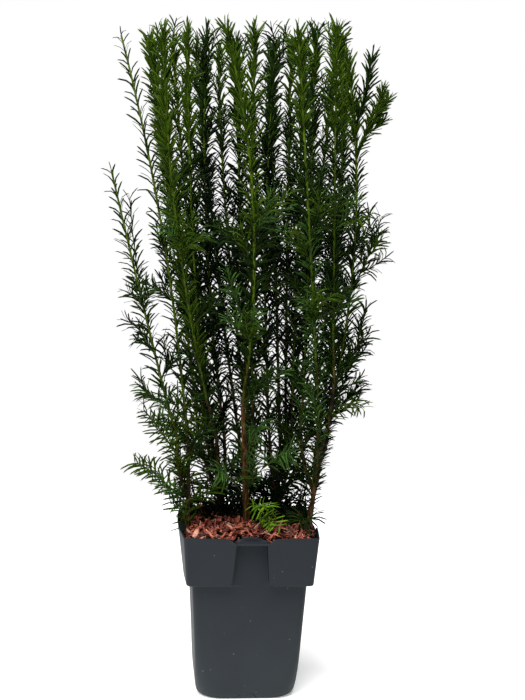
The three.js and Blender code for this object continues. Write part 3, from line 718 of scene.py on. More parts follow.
fissures = look.grain(240, 5, (1, 1, 0.28))
flaky = (0.3, (0.008, 0.004, 0.001)), (0.5, (0.04, 0.018, 0.005)), (0.68, (0.1, 0.05, 0.016))
old = look.tones(fissures, *flaky)
# Young wood is smoother, and a dark olive brown; its darkness is also painted shade, none on the front
# trunk, some on the other trunks and most on the boughs inside the crown.
olive = look.tones(fissures, (0.3, (0.006, 0.004, 0.001)), (0.68, (0.030, 0.021, 0.006)))
young_and_shaded_share = look("ShaderNodeAttribute", {"attribute_name": "young"}).outputs["Fac"]
look.feed(look.surface, Base_Color=look.mix(old, olive, young_and_shaded_share))
look.relief(fissures, 0.7, 0.0012)
bark = look.material
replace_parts(settle(wood, bark, None), *limbs)

# The shoots
# Each limb grows on in a leader, clipped level with its neighbours at the top of the crown, with side
# twigs that keep to the leader's own space. Flat sprays leave the foot of the trunks.
STEM_STEPS = 9
SPRAY_STEPS = 5
GOLDEN = math.radians(137.5)
# A stem that goes on from a limb's tip starts inside it, and follows its heading at first.
SUNK = 2
SPLICE = 14
# The lowest that a twig may reach over the chips, and its least gap from the wood.
LOWEST = 314
WOOD_GAP = 1.5
# name, limb, share up the limb, tip x y z, bow x y z, twigs, longest twig
LEADERS = [
    ("outer_left", "trunk_left", 1, -242, -15, 1172, 15, 4, 10, 6, 80),
    ("low_left", "bough_low_left", 1, -256, -60, 944, -4, -2, 10, 6, 90),
    ("left", "bough_left", 1, -193, 45, 1188, 0, 4, 10, 6, 90),
    ("front_left", "trunk_mid_left", 1, -171, -122, 1178, -24, -32, 14, 6, 95),
    ("inner_left", "bough_inner_left", 1, -129, -50, 1187, -8, -20, 14, 6, 80),
    ("mid_left", "bough_mid_left", 1, -91, 35, 1196, -17, 2, 12, 6, 80),
    ("front_centre", "trunk_centre", 1, -72, -152, 1182, 32, -10, 20, 6, 90),
    ("centre", "bough_centre", 1, -11, -30, 1198, -4, -4, 10, 6, 90),
    ("mid_right", "bough_mid_right", 1, 37, 55, 1180, -14, 6, 14, 6, 80),
    ("front_right", "trunk_right", 1, 52, -134, 1180, -4, -24, 20, 6, 90),
    ("inner_right", "bough_inner_right", 1, 95, -20, 1200, 2, -8, 10, 6, 80),
    ("right", "bough_right", 1, 126, -76, 1198, -2, -4, 10, 6, 80),
    ("far_right", "bough_far_right", 1, 154, 52, 1194, 17, 4, 14, 6, 80),
    ("outer_right", "bough_outer_right", 1, 153, -5, 1158, 34, 2, 16, 2, 80),
    ("back_outer_left", "trunk_mid_left", 0.52, -194, 114, 1180, -12, 16, 30, 6, 110),
    ("back_left", "trunk_mid_left", 0.22, -151, 106, 1184, -12, 20, 40, 6, 110),
    ("rear_left", "trunk_back", 0.42, -104, 152, 1188, -16, 16, 40, 6, 110),
    ("back_centre", "trunk_back", 0.7, -36, 72, 1186, -4, 4, 30, 6, 90),
    ("rear_centre", "trunk_back", 1, -62, 154, 1188, -14, 20, 20, 6, 110),
    ("back_mid_right", "trunk_back_right", 0.76, 30, 122, 1190, 0, 12, 30, 6, 100),
    ("back_inner_right", "bough_back_inner_right", 1, 86, 52, 1188, 2, 2, 20, 6, 80),
    ("rear_right", "trunk_back_right", 1, 74, 150, 1194, 0, 16, 20, 6, 110),
    ("back_right", "trunk_back_right", 0.48, 154, 110, 1190, 14, 6, 30, 6, 100),
    ("back_outer_right", "bough_back_outer_right", 1, 176, 114, 1168, 18, 8, 20, 6, 110),
]
# name, limb, share up the limb, tip x y z, bow z, twigs, longest twig
SPRAYS = [
    ("low_right", "trunk_right", 0.86, 200, -34, 524, 18, 2, 34),
    ("lowest_right", "trunk_right", 0.12, 90, -98, 330, 12, 2, 28),
    ("back_low_right", "trunk_back_right", 0.62, 146, 112, 452, 12, 3, 60),
    ("left_upper", "trunk_left", 0.72, -192, -58, 520, 8, 3, 60),
    ("left_lower", "trunk_left", 0.4, -204, -40, 420, 12, 4, 60),
    ("left_foot", "trunk_left", 0.16, -128, -72, 356, 8, 3, 40),
    ("back_low_left", "bough_left", 0.6, -160, 70, 482, 12, 3, 65),
    ("fresh_centre", "trunk_centre", 0.2, 24, -88, 352, 14, 2, 30),
    ("fresh_front", "trunk_centre", 0.06, 50, -98, 320, 18, 2, 32),
    ("front_centre_low", "trunk_centre", 0.62, 10, -100, 500, 12, 2, 34),
    ("front_right_low", "trunk_centre", 0.44, 70, -90, 456, 14, 2, 38),
    ("front_left_low", "trunk_centre", 0.36, -60, -86, 416, 12, 2, 36),
    ("rear_low_left", "trunk_mid_left", 0.14, -92, 122, 410, 12, 4, 65),
    ("rear_low", "trunk_back", 0.24, 0, 154, 414, 12, 4, 65),
    ("rear_low_right", "trunk_back_right", 0.2, 96, 136, 408, 12, 3, 65),
]
# Side shoots that stand out of the outline: leader, share up its stem, tip x y z
ARMS = [
    ("outer_right", 0.8, 200, -12, 1146),
    ("outer_right", 0.74, 223, -16, 1090),
    ("outer_right", 0.4, 228, 0, 864),
    ("outer_right", 0.06, 208, 0, 702),
    ("low_left", 0.5, -222, -30, 886),
]


def dice(seed):
    """The draws of the growing rule, between 0 and 1, the same for the same seed."""
    state = (seed * 2654435761 + 12345) % 2**32

    def draw():
        nonlocal state
        state = (state * 1664525 + 1013904223) % 2**32
        return state / 2**32

    return draw


def distances(p, a, b):
    """From a point to each straight stretch from a to b."""
    step, way = b - a, p - a
    t = np.clip((way * step).sum(1) / (step * step).sum(1), 0, 1)
    return np.linalg.norm(way - t[:, None] * step, axis=1)


limb_a = np.vstack([limb["points"][:-1] for limb in limbs.values()])
limb_b = np.vstack([limb["points"][1:] for limb in limbs.values()])
limb_girth = np.concatenate([[limb["foot"]] * (len(limb["points"]) - 1) for limb in limbs.values()])


def wood_gap(p):
    return (distances(p, limb_a, limb_b) - limb_girth).min()


masses = []
for number, row in enumerate(LEADERS + SPRAYS):
    leader = number < len(LEADERS)
    name, limb, share, x, y, z = row[:6]
    bow = spot(*row[6:9]) * (1 if share == 1 else 0.8) if leader else spot(0, 0, row[6])
    foot, heading = along(limbs[limb]["points"], share)
    if share == 1:
        foot = foot - SUNK * heading
    stem = curve(foot, spot(x, y, z), bow, STEM_STEPS if leader else SPRAY_STEPS)
    if share == 1:
        stem = np.insert(stem, 1, foot + SPLICE * heading, axis=0)
    masses.append(
        {
            "seed": number if leader else 100 + number - len(LEADERS),
            "node": ("foliage_" if leader else "spray_") + name,
            "name": name,
            "leader": leader,
            "limb": limb,
            "stem": stem,
            "twigs": row[-2],
            "longest": row[-1],
            "shoots": [],
            "finer": [],
        }
    )


def stretches():
    """Every stem and twig kept so far, as straight stretches with the number of their mass."""
    a, b, owner = [], [], []
    for number, mass in enumerate(masses):
        for line in [mass["stem"]] + mass["shoots"]:
            a.append(line[:-1])
            b.append(line[1:])
            owner += [number] * (len(line) - 1)
    return np.vstack(a), np.vstack(b), np.array(owner)


def own_space(p, number, field, own, margin):
    """Is a point nearer to its own stem than to any other mass, clear of wood, pot and chips?"""
    if p[2] < LOWEST or wood_gap(p) < WOOD_GAP + margin:
        return False
    a, b, owner = field
    mine = min(distances(p, line[:-1], line[1:]).min() for line in own)
    return distances(p, a, b)[owner != number].min() > mine + margin


def twig_frame(stem, share, upright):
    """A place on a stem, the heading there, and the way out from it at each turn."""
    foot, heading = along(stem, share)
    side = unit(np.cross(spot(1, 0, 0) if upright else spot(0, 0, 1), heading))
    up = np.cross(heading, side)
    return foot, heading, lambda turn: side * math.cos(turn) + up * math.sin(turn)


def twig_line(foot, heading, out, bend, lean, length):
    """A twig of three straight steps, leaning out from the heading and bending away."""
    first = heading * math.cos(lean) + out * math.sin(lean)
    reach = np.linspace(0, length, 4)[:, None]
    return foot + first * reach + bend * (0.35 * reach**2 / length)


def draw_twigs(mass):
    """The main twigs of a mass, as the source grows them."""
    draw = dice(mass["seed"] + 1)
    turn_start = draw() * 2 * math.pi
    leader, count = mass["leader"], mass["twigs"]
    found = []
    for k in range(count):
        share = 0.04 + 0.5 * (k + draw()) / count if leader else 0.25 + 0.55 * (k + 0.5) / count
        foot, heading, outward = twig_frame(mass["stem"], share, leader)
        out = outward(turn_start + k * GOLDEN if leader else math.pi * (k % 2) + (draw() - 0.5) * 0.5)
        length = mass["longest"] * (1 - 0.55 * share) * (0.75 + 0.4 * draw())
        lean = 0.95 - 0.35 * share if leader else 0.8
        bend = heading if leader else heading + spot(0, 0, -0.35)
        found.append(twig_line(foot, heading, out, bend, lean, length))
    for name, share, x, y, z in ARMS:
        if leader and mass["name"] == name:
            foot, _ = along(mass["stem"], share)
            found.append(curve(foot, spot(x, y, z), spot(x - foot[0], y - foot[1], 0) * 0.12, 3))
    return found


def kept(line, fits):
    """As much of a twig as fits, if two of its steps do."""
    good = 0
    while good < 3 and fits(line[good + 1]):
        good += 1
    return [line[: good + 1]] if good >= 2 else []


drawn = [draw_twigs(mass) for mass in masses]
for number, mass in enumerate(masses):
    field = stretches()
    for line in drawn[number]:
        mass["shoots"] += kept(line, lambda p: own_space(p, number, field, [mass["stem"]], 4))

# Finer twigs, by the same rule from a second draw: from each leader, and from each of its twigs.
# Wide and drooping low down, steep further up, and cut off with the leaders at the top.
CLIP = 1182
TWIGLET_LONGEST = 48
# Way from one twiglet to the next, lean and growth: in the crown, and on the arms at its right.
TWIGLETS = (24, 0.75, 1)
CLOSE_TWIGLETS = (13, 0.5, 0.6)
# Where twigs begin to droop, going down, and to steepen, going up: height, and way to the full.
DROOPING = (720, 260)
STEEP = (760, 300)
# A twig this far from every neighbour grows out of the crown.
OUT_OF_CROWN = 52
# The room that twigs find in the crown: height, left end, right end, half depth.
ROOM = spot(
    (300, -112, 108, 90),
    (380, -165, 128, 120),
    (450, -170, 118, 140),
    (500, -160, 126, 140),
    (600, -158, 142, 150),
    (660, -178, 172, 155),
    (800, -205, 154, 160),
    (1000, -196, 152, 165),
    (1200, -190, 150, 165),
)
ROOM_MIDDLE = 10
field = stretches()


def room_at(z):
    return [np.interp(z, ROOM[:, 0], ROOM[:, k]) for k in (1, 2, 3)]


def has_room(p):
    left, right, depth = room_at(p[2])
    return left < p[0] < right and abs(p[1] - ROOM_MIDDLE) < depth


# Leaders that stand free at the sides, and the low sprays whose needles spread like a fan.
LONE = ("outer_left", "low_left", "outer_right")
FANS = ("front_centre_low", "front_right_low", "front_left_low", "lowest_right")
FANS += ("fresh_centre", "fresh_front")
# Above this the arms at the right of the crown branch closely.
CLOSE_ABOVE = 900


def bears_twiglets(name, top):
    """Twigs near the clip stay single, and so do those of a free leader outside its dense part."""
    if name in LONE[:2]:
        return top <= 830
    return top <= 1120 and not (name == LONE[2] and top < 680)


for number, mass in enumerate(masses):
    if not mass["leader"]:
        continue
    name, stem = mass["name"], mass["stem"]
    draw = dice(mass["seed"] + 901)
    own = [stem] + mass["shoots"]
    turn = draw() * 2 * math.pi
    length = steps_of(stem).sum()
    reach = 6.0
    while reach < length - 12:
        share = reach / length
        foot, heading, outward = twig_frame(stem, share, True)
        low = clamp((DROOPING[0] - foot[2]) / DROOPING[1])
        high = clamp((foot[2] - STEEP[0]) / STEEP[1])
        turn += GOLDEN
        out = outward(turn)
        longest = (84 + 26 * low - 16 * share - 26 * high) * (0.6 + 0.6 * draw())
        longest = min(longest, (CLIP + 0.1 * foot[1] - foot[2]) / 0.93)
        # A twig that grows out of the crown stays short.
        gaps = distances(foot + 60 * out + 40 * heading, *field[:2])
        longest *= 0.42 if gaps[field[2] != number].min() > OUT_OF_CROWN else 1
        reach += (36 + 8 * high + 14 * low) * (0.6 + 0.8 * draw())
        if (foot[1] < -45 and out[1] < -0.3) or (name in LONE and share > 0.3):
            continue
        lean = 0.5 + 0.28 * low - 0.1 * share
        bend = heading * (1 - 0.6 * low) + spot(0, 0, -0.1 * low)
        line = twig_line(foot, heading, out, bend, lean, longest)
        mass["finer"] += kept(line, lambda p: own_space(p, number, field, own, 1.0) and has_room(p))
    for parent in mass["shoots"]:
        if not bears_twiglets(name, parent[-1][2]):
            continue
        close = name == LONE[2] and parent[-1][2] > CLOSE_ABOVE
        step, lean, growth = CLOSE_TWIGLETS if close else TWIGLETS
        length = steps_of(parent).sum()
        upright = abs((parent[-1] - parent[0])[2]) > 0.8 * length
        for k in range(int(length / step)):
            share = 0.2 + 0.7 * (k + draw() * 0.6) * step / length
            foot, heading, outward = twig_frame(parent, min(share, 0.95), upright)
            turn = turn + GOLDEN if upright else math.pi * (k % 2) + (draw() - 0.5) * 0.7
            longest = TWIGLET_LONGEST * (1 - 0.4 * share) * (0.7 + 0.5 * draw()) * growth
            line = twig_line(foot, heading, outward(turn), heading, lean, longest)
            mass["finer"] += kept(line, lambda p: own_space(p, number, field, own, 1.0))

# Shoots on the limbs themselves, under the crown, where the photo shows little bare wood: closer
# near the soil, and flatter there. The two front trunks stay bare on the side that faces the front.
BARE = ("trunk_centre", "trunk_right")
CLOSE = ("bough_inner_right", "bough_right", "bough_far_right", "bough_outer_right")
# How high over the soil the close growth at the foot reaches.
FOOT_SHOOTS = 110


def open_to_twigs(p):
    """Is a point in the crown's room, clear of the chips, the wood and every shoot?"""
    if p[2] < 303 or (p[2] < 345 and p[1] < -25 and p[0] < 45):
        return False
    return wood_gap(p) >= 2.5 and distances(p, *field[:2]).min() >= 3 and has_room(p)


limb_twigs = []
for number, (name, limb) in enumerate(limbs.items()):
    draw = dice(1301 + number)
    points = limb["points"]
    length = steps_of(points).sum()
    reach = 9.0
    turn = draw() * 6
    while reach < length - 6:
        foot, heading, outward = twig_frame(points, reach / length, True)
        low = max(0.0, 1 - (foot[2] - SOIL) / FOOT_SHOOTS)
        step = 3 + 45 * (1 - low) ** 1.7 if low else 12 if name in CLOSE else 48
        reach += step * (0.6 + 0.8 * draw())
        turn += GOLDEN
        out = outward(turn)
        inward = name == "trunk_right" and low and out[1] > -0.25
        if name in BARE and not inward and (out[1] < 0.25 or draw() < 0.3):
            continue
        longest = (60 + 60 * draw()) * (0.7 + 0.3 * min(1, (foot[2] - 300) / 60))
        lean = 0.4 + 0.45 * draw() + 0.6 * low
        line = twig_line(foot, heading, out, spot(0, 0, 0.15) + out * 0.3, lean, longest)
        limb_twigs += kept(line, open_to_twigs)


def shoot_host(name, rows):
    """Shoots as one object of bare lines, with what the trees need to know at each point."""
    points, edges = [], []
    values = {"heading": [], "share": [], "girth": [], "size": [], "phase": [], "parting": []}
    for number, (line, root, tip, size, spacing, parting) in enumerate(rows):
        fine = smooth_line(line, spacing)
        heading = np.gradient(fine, axis=0)
        heading /= np.linalg.norm(heading, axis=1)[:, None]
        share = np.linspace(0, 1, len(fine))
        base = len(points)
        points += list(fine)
        edges += [(base + k, base + k + 1) for k in range(len(fine) - 1)]
        values["heading"] += list(heading.ravel())
        values["share"] += list(share)
        values["girth"] += list((root + (tip - root) * share**0.8) * MM)
        values["size"] += list(size(share))
        values["phase"] += [dice(number + 31)() * 6.283] * len(fine)
        values["parting"] += [parting] * len(fine)
    mesh = made_mesh(name, points, [], edges)
    for key, data in values.items():
        kind, field = ("FLOAT_VECTOR", "vector") if key == "heading" else ("FLOAT", "value")
        mesh.attributes.new(key, kind, "POINT").data.foreach_set(field, np.array(data, np.float32))
    return in_scene(name, mesh)


swept = Tree("shoot", Step="Float", Sides="Int", Material="Material")
inp = swept.entry.outputs
line = swept("GeometryNodeMeshToCurve", Mesh=inp["Geometry"])
even = swept("GeometryNodeResampleCurve", {"mode": "LENGTH"}, Curve=line.outputs[0], Length=inp["Step"])
section = swept("GeometryNodeCurvePrimitiveCircle", Resolution=inp["Sides"], Radius=1.0)
tube = swept(
    "GeometryNodeCurveToMesh",
    Curve=even.outputs[0],
    Profile_Curve=section.outputs[0],
    Scale=swept.attribute("girth"),
    Fill_Caps=True,
)
swept.finish(tube.outputs[0], inp["Material"])

# Stems and twigs are gathered by colour, needles by style and green. A row is the shoot's line,
# its radius at root and tip, the needles' size along it, the line's spacing, and how far the
# needles part to the sides.
BROWN_TO = 470
DRAWN_IN = (560, 780)
CUT_AT = 0.972
CUT_FREE = {"outer_left": 0.995, "low_left": 0.985}
SHOWY = ("front_centre", "front_right", "inner_left")
# Leaders painted a little paler, as painted light, as if they stood in the sun.
PAINTED_SUNLIT = ("left", "front_left", "inner_left", "front_centre", "centre", "front_right", "inner_right", "right")
PAINTED_SUNLIT += ("outer_right",)
stems = {kind: [] for kind in ("brown", "olive", "bright", "green", "twig")}
dressed = {}


def add_needles(style, tone, *row):
    dressed.setdefault((style, tone), []).append(row)


def cut_line(line, low, high):
    n = len(line) - 1
    ends = [along(line, low)[0]]
    ends += [line[k] for k in range(1, n) if low * n + 0.05 < k < high * n - 0.05]
    ends.append(along(line, high)[0])
    return np.array(ends)


def tapering(full, loss=0.0, power=1):
    """The needles' size along a shoot: full at its foot, and less by the loss at its tip."""
    return lambda share: full - loss * share**power


def stem_sizes(low, high, full, bare):
    """The same along one length of a stem, less with its height, and running out at a free tip."""

    def size(share):
        up = low + (high - low) * share
        return full - 0.14 * up - bare * up**12

    return size


def tone_at(draw, p, sunny=False):
    """Which green a shoot gets, as painted light and shade: paler towards the top, the front and the
    outside, where light falls, and low down at the front, darker inside the crown and in a band near 930 mm
    up; now and then a bluish green, a painted sheen.
    """
    x, y, z = p
    light = 0.55 * (z - 640) / 780 + 0.5 * (x / 300) ** 2 + 0.36 * (draw() - 0.5)
    light += 0.5 * max(0.0, (10 - y) / 165) + 0.3 * max(0.0, (y - 10) / 165)
    light += 0.2 * sunny + clamp((620 - z) / 180) * (0.85 if y < 30 else 0.5)
    light -= 0.14 * math.exp(-(((z - 930) / 110) ** 2))
    if light > 0.42 and z < 900 and draw() < 0.2:
        return "cool"
    return "light" if light > 0.76 else "mid" if light > 0.42 else "deep"


def dress_leader(mass, draw):
    """A leader's stem, from brown through olive to green, and its needles in four lengths."""
    name = mass["name"]
    free, sunny = name in LONE[:2], name in PAINTED_SUNLIT
    parting = 0.36 if mass["stem"][-1][1] < 20 else 0.3
    line = cut_line(mass["stem"], 0, CUT_FREE.get(name, CUT_AT))
    root = limbs[mass["limb"]]["tip"] * 0.93
    brown = next((k for k in range(1, len(line)) if line[k][2] > BROWN_TO), 1) / (len(line) - 1)
    # The three front leaders get a brighter, yellower and thicker stem: yellow-green young wood, painted
    # brighter as light where it faces the lamps.
    showy, slim = ("bright", 2.3) if name in SHOWY else ("green", 1.7)
    spans = (("brown", 0, brown), ("olive", brown, 0.2), (showy, 0.2, 0.75), ("green", 0.75, 1))
    for kind, low, high in spans:
        if high - low > 0.02:
            ends = [root + (slim - root) * s**0.8 for s in (low, high)]
            stems[kind].append((cut_line(line, low, high), *ends, tapering(1), 8, 0))
    full = 0.9 if line[-1][1] > 90 else 1.04
    for low, high in ((0.02, 0.26), (0.26, 0.5), (0.5, 0.72), (0.72, 1)):
        part = cut_line(line, low, high)
        far = line[-1][1] > 60 and high < 0.4
        style = "lone" if free or far else "top" if high == 1 else "leader"
        tone = "mid" if free else tone_at(draw, part[-1], sunny or high == 1)
        size = stem_sizes(low, high, full, 0.4 if free else 0)
        add_needles(style, tone, part, root, 1.35, size, 8, 0.1 if high == 1 else parting)
    # The clipped tip carries a tuft.
    if name not in LONE:
        tone = tone_at(draw, line[-1], True)
        add_needles("top", tone, cut_line(line, 0.95, 1), root, 1.35, tapering(0.66, 0.1), 4, 0)


def dress_spray(mass, draw):
    """A low spray's own shoot, with needles over the share of it that shows."""
    name, line, root, tip = mass["name"], mass["stem"], 1.9, 1.1
    thin = 0.6 if name in FANS else 1
    stems["twig"].append((line, root * thin, tip * thin, tapering(1), 6, 0))
    fresh = name.startswith("fresh")
    # Sprays get the bluish green, whose blue is a painted sheen, or the paler green of painted light; the
    # lowest right one gets the middle green.
    tone = "fresh" if fresh else "cool" if name in FANS[:3] or draw() < 0.4 else "light"
    tone = "mid" if name == "lowest_right" else tone
    style = "fresh" if name == "fresh_front" else "fan" if name in FANS else "loose"
    leafy, full = {"fan": (0.7, 0.94), "fresh": (0.35, 0.72), "loose": (0.12, 0.95)}[style]
    add_needles(style, tone, cut_line(line, leafy, 1), root, tip, tapering(full, 0.2, 3), 6, 0)


def dress_twig(mass, twig, draw):
    """A side twig: its needles stand all round it if it is steep, and else in two rows."""
    name = mass["name"]
    x, y, z = twig[-1]
    tone = tone_at(draw, twig[-1], name in PAINTED_SUNLIT)
    # At the back some twigs are left out, most of them low down, where light shows through.
    if y > 50 and draw() < (0.7 if z < 530 else 0.3 if z < 1000 else 0):
        return
    steep = z - twig[0][2] > 0.5 * np.linalg.norm(twig[-1] - twig[0])
    free = name in LONE[:2] and z > 760
    style, full = "lone" if free else "twig" if steep else "flat", 0.86
    # Below its widest place the crown draws in, but for its arms.
    left, right, _ = room_at(z)
    arm = any(np.allclose(twig[-1], row[2:]) for row in ARMS)
    if not left - 26 < x < right + 20 and DRAWN_IN[0] < z < DRAWN_IN[1] and not arm:
        twig = cut_line(twig, 0, 0.72)
    if name == LONE[2] and z > CLOSE_ABOVE:
        tone, style, full = ("mid", "arm", 0.9) if z > 1120 else ("light", "arm", 0.66)
    # Low sprays' twigs take the same painted sheen and painted light greens as their sprays.
    if not mass["leader"]:
        style = "fan" if name == "lowest_right" else "loose"
        tone = "mid" if name == "lowest_right" else "cool" if name in FANS[:2] or draw() < 0.4 else "light"
    if name.startswith("fresh"):
        tone, style, full = "fresh", "fresh", 0.55
    stems["twig"].append((twig, 1.3, 0.75, tapering(1), 6, 0))
    add_needles(style, tone, twig, 1.35, 0.8, tapering(full, 0.2, 3), 6, 0.3)


for mass in masses:
    draw = dice(mass["seed"] + 2001)
    if mass["leader"]:
        dress_leader(mass, draw)
    else:
        dress_spray(mass, draw)
    for twig in mass["shoots"] + mass["finer"]:
        dress_twig(mass, twig, draw)
draw = dice(2500)
for twig in limb_twigs:
    foot_height, (_, y, z) = twig[0][2], twig[-1]
    if draw() < (0.65 if 392 < z < 500 and y > 10 else 0):
        continue
    stems["twig"].append((twig, 1.2, 0.7, tapering(1), 6, 0))
    # Near the soil most twigs get the darkest green, painted shade; higher up and at the front most of those
    # get the middle green, painted light.
    tone = "deep" if draw() < (390 - foot_height) / 60 else tone_at(draw, twig[-1])
    if tone == "deep" and foot_height > 366 and (y < 10 or draw() < 0.6):
        tone = "mid"
    add_needles("twig", tone, twig, 1.2, 0.7, tapering(0.88, 0.16, 3), 6, 0.3)
# Needles stand on the boughs too, and on the upper part of the trunks, all in the darkest green: painted
# shade inside the crown.
for name, limb in limbs.items():
    leafy = cut_line(limb["points"], 0.1 if name.startswith("bough") else 0.32, 1)
    for _ in range(0 if name == "trunk_centre" else 2 if name in CLOSE else 1):
        add_needles("twig", "deep", leafy, limb["foot"], limb["tip"], tapering(0.62), 8, 0.3)

# name, colours, sides
SHOOTS = {
    "brown": ("leaders_foot", (0.018, 0.012, 0.005), (0.055, 0.036, 0.014), 8),
    "olive": ("leaders_olive", (0.032, 0.028, 0.003), (0.065, 0.055, 0.006), 7),
    "bright": ("leaders_yellow", (0.036, 0.064, 0.002), (0.072, 0.120, 0.004), 7),
    "green": ("leaders_green", (0.028, 0.050, 0.002), (0.055, 0.090, 0.004), 7),
    "twig": ("side_twigs", (0.016, 0.028, 0.004), (0.042, 0.062, 0.008), 5),
}
mass_nodes = [mass["node"] for mass in masses]
for kind, (name, dark, light, sides) in SHOOTS.items():
    look = Finish(name, 0.6, 0.1)
    material = look.coat(look.grain(180, 3, (1, 1, 0.3)), [(0.35, dark), (0.65, light)], 0.4, 0.0006)
    host = shoot_host(name + "_lines", stems[kind])
    piece = swept.make(host, name, Step=0.012, Sides=sides, Material=material)
    bpy.data.objects.remove(host)
    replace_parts(settle(piece, material, None), *mass_nodes)

# The needles
# Flat soft leaves, dark and glossy above and paler below, arched outwards: all round a leader, and
# in two rows along a side twig. Most are 20 to 45 mm long and up to 4 mm wide, a little larger than
# life, so that fewer fill the crown; those of the flat sprays are broader still.
NEEDLE_LENGTH = 40
NEEDLE_WIDTH = 3.8
NEEDLE_THICK = 0.9
# Along the needle: share of its length, share of its width.
BLADE = [(0, 0.5), (0.14, 0.92), (0.5, 1.0), (0.86, 0.8), (1, 0)]
# How far each shape's foot is twisted, in radians.
ROLLS = (-1.25, 0.3, -0.6, 1.0, -0.95, 0.65, -0.25, 1.3)
NEEDLE_SHAPES = len(ROLLS)
draw = np.random.default_rng(7)


def needle_mesh(name, lean, arch, roll, broad, sag):
    """One needle from the origin, leaving along Z and arching over towards X, its width along Y.
    roll is how far its foot twists to bring its face round, sag how far its tip hangs along -Y."""
    lean = math.radians(lean + draw.uniform(-7, 7))
    arch = math.radians(arch + draw.uniform(-6, 6))
    twist = draw.uniform(-0.35, 0.35)
    sway = draw.uniform(-0.12, 0.12)
    points = []
    x = z = last = 0.0
    for share, width in BLADE:
        middle = lean + arch * ((last + share) / 2)
        x += math.sin(middle) * (share - last)
        z += math.cos(middle) * (share - last)
        last = share
        a = lean + arch * share
        normal = (-math.cos(a), 0, math.sin(a))
        turned = roll * min(1, share * 6) + twist * share
        across = (normal[0] * math.sin(turned), math.cos(turned), normal[2] * math.sin(turned))
        keel = (normal[0] * math.cos(turned), -math.sin(turned), normal[2] * math.cos(turned))
        rib = (x, sway * share * share + sag * (0.55 * share - share * share), z)
        w = broad * width * NEEDLE_WIDTH / NEEDLE_LENGTH / 2
        t = NEEDLE_THICK / NEEDLE_LENGTH * (0.5 + 0.5 * width)
        for side, lift in ((-1, 0.35), (1, 0.35), (0, -0.65)) if width else ():
            points.append([rib[c] + across[c] * w * side + keel[c] * t * lift for c in range(3)])
    tip, end = len(points), len(points) - 3
    faces = bands(3, end // 3) + [(end + i, end + (i + 1) % 3, tip) for i in range(3)] + [(2, 1, 0)]
    return bpy.data.objects.new(name, made_mesh(name, points + [rib], faces, unit=1))


def needle_shapes(name, lean, arch, more, broad=1.0, sag=0.0, flat=False):
    """Eight needles, the first half for one side of a flat twig and the rest for the other."""
    needles = []
    for i, roll in enumerate(ROLLS):
        droop = sag * draw.uniform(0.6, 1.3) * (1 if i < NEEDLE_SHAPES / 2 else -1)
        bend = arch + more * ((i * 3) % NEEDLE_SHAPES) / 7
        roll = 1.45 + 0.25 * roll if flat else roll
        needles.append(needle_mesh(f"{name}_{i}", lean, bend, roll, broad, droop))
    return shapes(name, needles)


leader_needle = needle_shapes("leader_needle", 16, 28, 50)
top_needle = needle_shapes("top_needle", 15, 10, 26, 1.15)
side_needle = needle_shapes("side_needle", 50, 6, 34, 1.3, 0.9)
spray_needle = needle_shapes("spray_needle", 46, 8, 30, 1.05, 0.5, True)
fan_needle = needle_shapes("fan_needle", 54, 4, 30, 1.3, 0.8, True)
fresh_needle = needle_shapes("fresh_needle", 46, 4, 22, 1.9, 0.3, True)

floats = dict.fromkeys(("Pitch", "Length", "Two_rows", "Rise", "Scatter", "Lean"), "Float")
clad = Tree("needles", Needle="Collection", Guide="Vector", **floats, Seed="Int", Material="Material")
inp = clad.entry.outputs
line = clad("GeometryNodeMeshToCurve", Mesh=inp["Geometry"])
even = clad("GeometryNodeResampleCurve", {"mode": "LENGTH"}, Curve=line.outputs[0], Length=inp["Pitch"])
heading = clad.vector("NORMALIZE", clad.attribute("heading", "FLOAT_VECTOR"))
side = clad.vector("NORMALIZE", clad.vector("CROSS_PRODUCT", inp["Guide"], heading))
up = clad.vector("CROSS_PRODUCT", heading, side)
# The turn of each needle round the twig: spiral, parted to the sides, or in two rows.
index = clad("GeometryNodeSplineParameter").outputs["Index"]
even_turn = clad.math("MULTIPLY_ADD", index, GOLDEN, clad.attribute("phase"))
parting = clad.math("SINE", clad.math("MULTIPLY", even_turn, 2.0))
spiral = clad.math("MULTIPLY_ADD", parting, clad.attribute("parting"), even_turn)
parity = clad.math("MODULO", index, 2.0)
opposite = clad.math("SUBTRACT", math.pi, clad.math("MULTIPLY", inp["Rise"], 2.0))
rows = clad.math("MULTIPLY_ADD", parity, opposite, inp["Rise"])
blend = clad("ShaderNodeMix", {"data_type": "FLOAT"}, Factor=inp["Two_rows"], A=spiral, B=rows)
wander = clad.math("MULTIPLY", clad.random(-1.0, 1.0, inp["Seed"]), inp["Scatter"])
angle = clad.math("ADD", blend.outputs[0], wander)
across = clad.scaled(side, clad.math("COSINE", angle))
out = clad.vector("ADD", across, clad.scaled(up, clad.math("SINE", angle)))
axes = {"primary_axis": "Z", "secondary_axis": "X"}
stand = clad("FunctionNodeAxesToRotation", axes, Primary_Axis=heading, Secondary_Axis=out)
# Needles lean a little more or less, and close up towards the tip.
closing = clad.math("MULTIPLY", clad.math("POWER", clad.attribute("share"), 9.0), -0.1)
lean = clad.math("ADD", clad.math("ADD", closing, clad.random(-0.28, 0.28, 21)), inp["Lean"])
nod = clad("FunctionNodeAxisAngleToRotation", Axis=(0, 1, 0), Angle=lean)
local = {"rotation_space": "LOCAL"}
turned = clad("FunctionNodeRotateRotation", local, Rotation=stand.outputs[0], Rotate_By=nod.outputs[0])
grown = clad.math("MULTIPLY", clad.attribute("size"), clad.random(0.82, 1.1, 22))
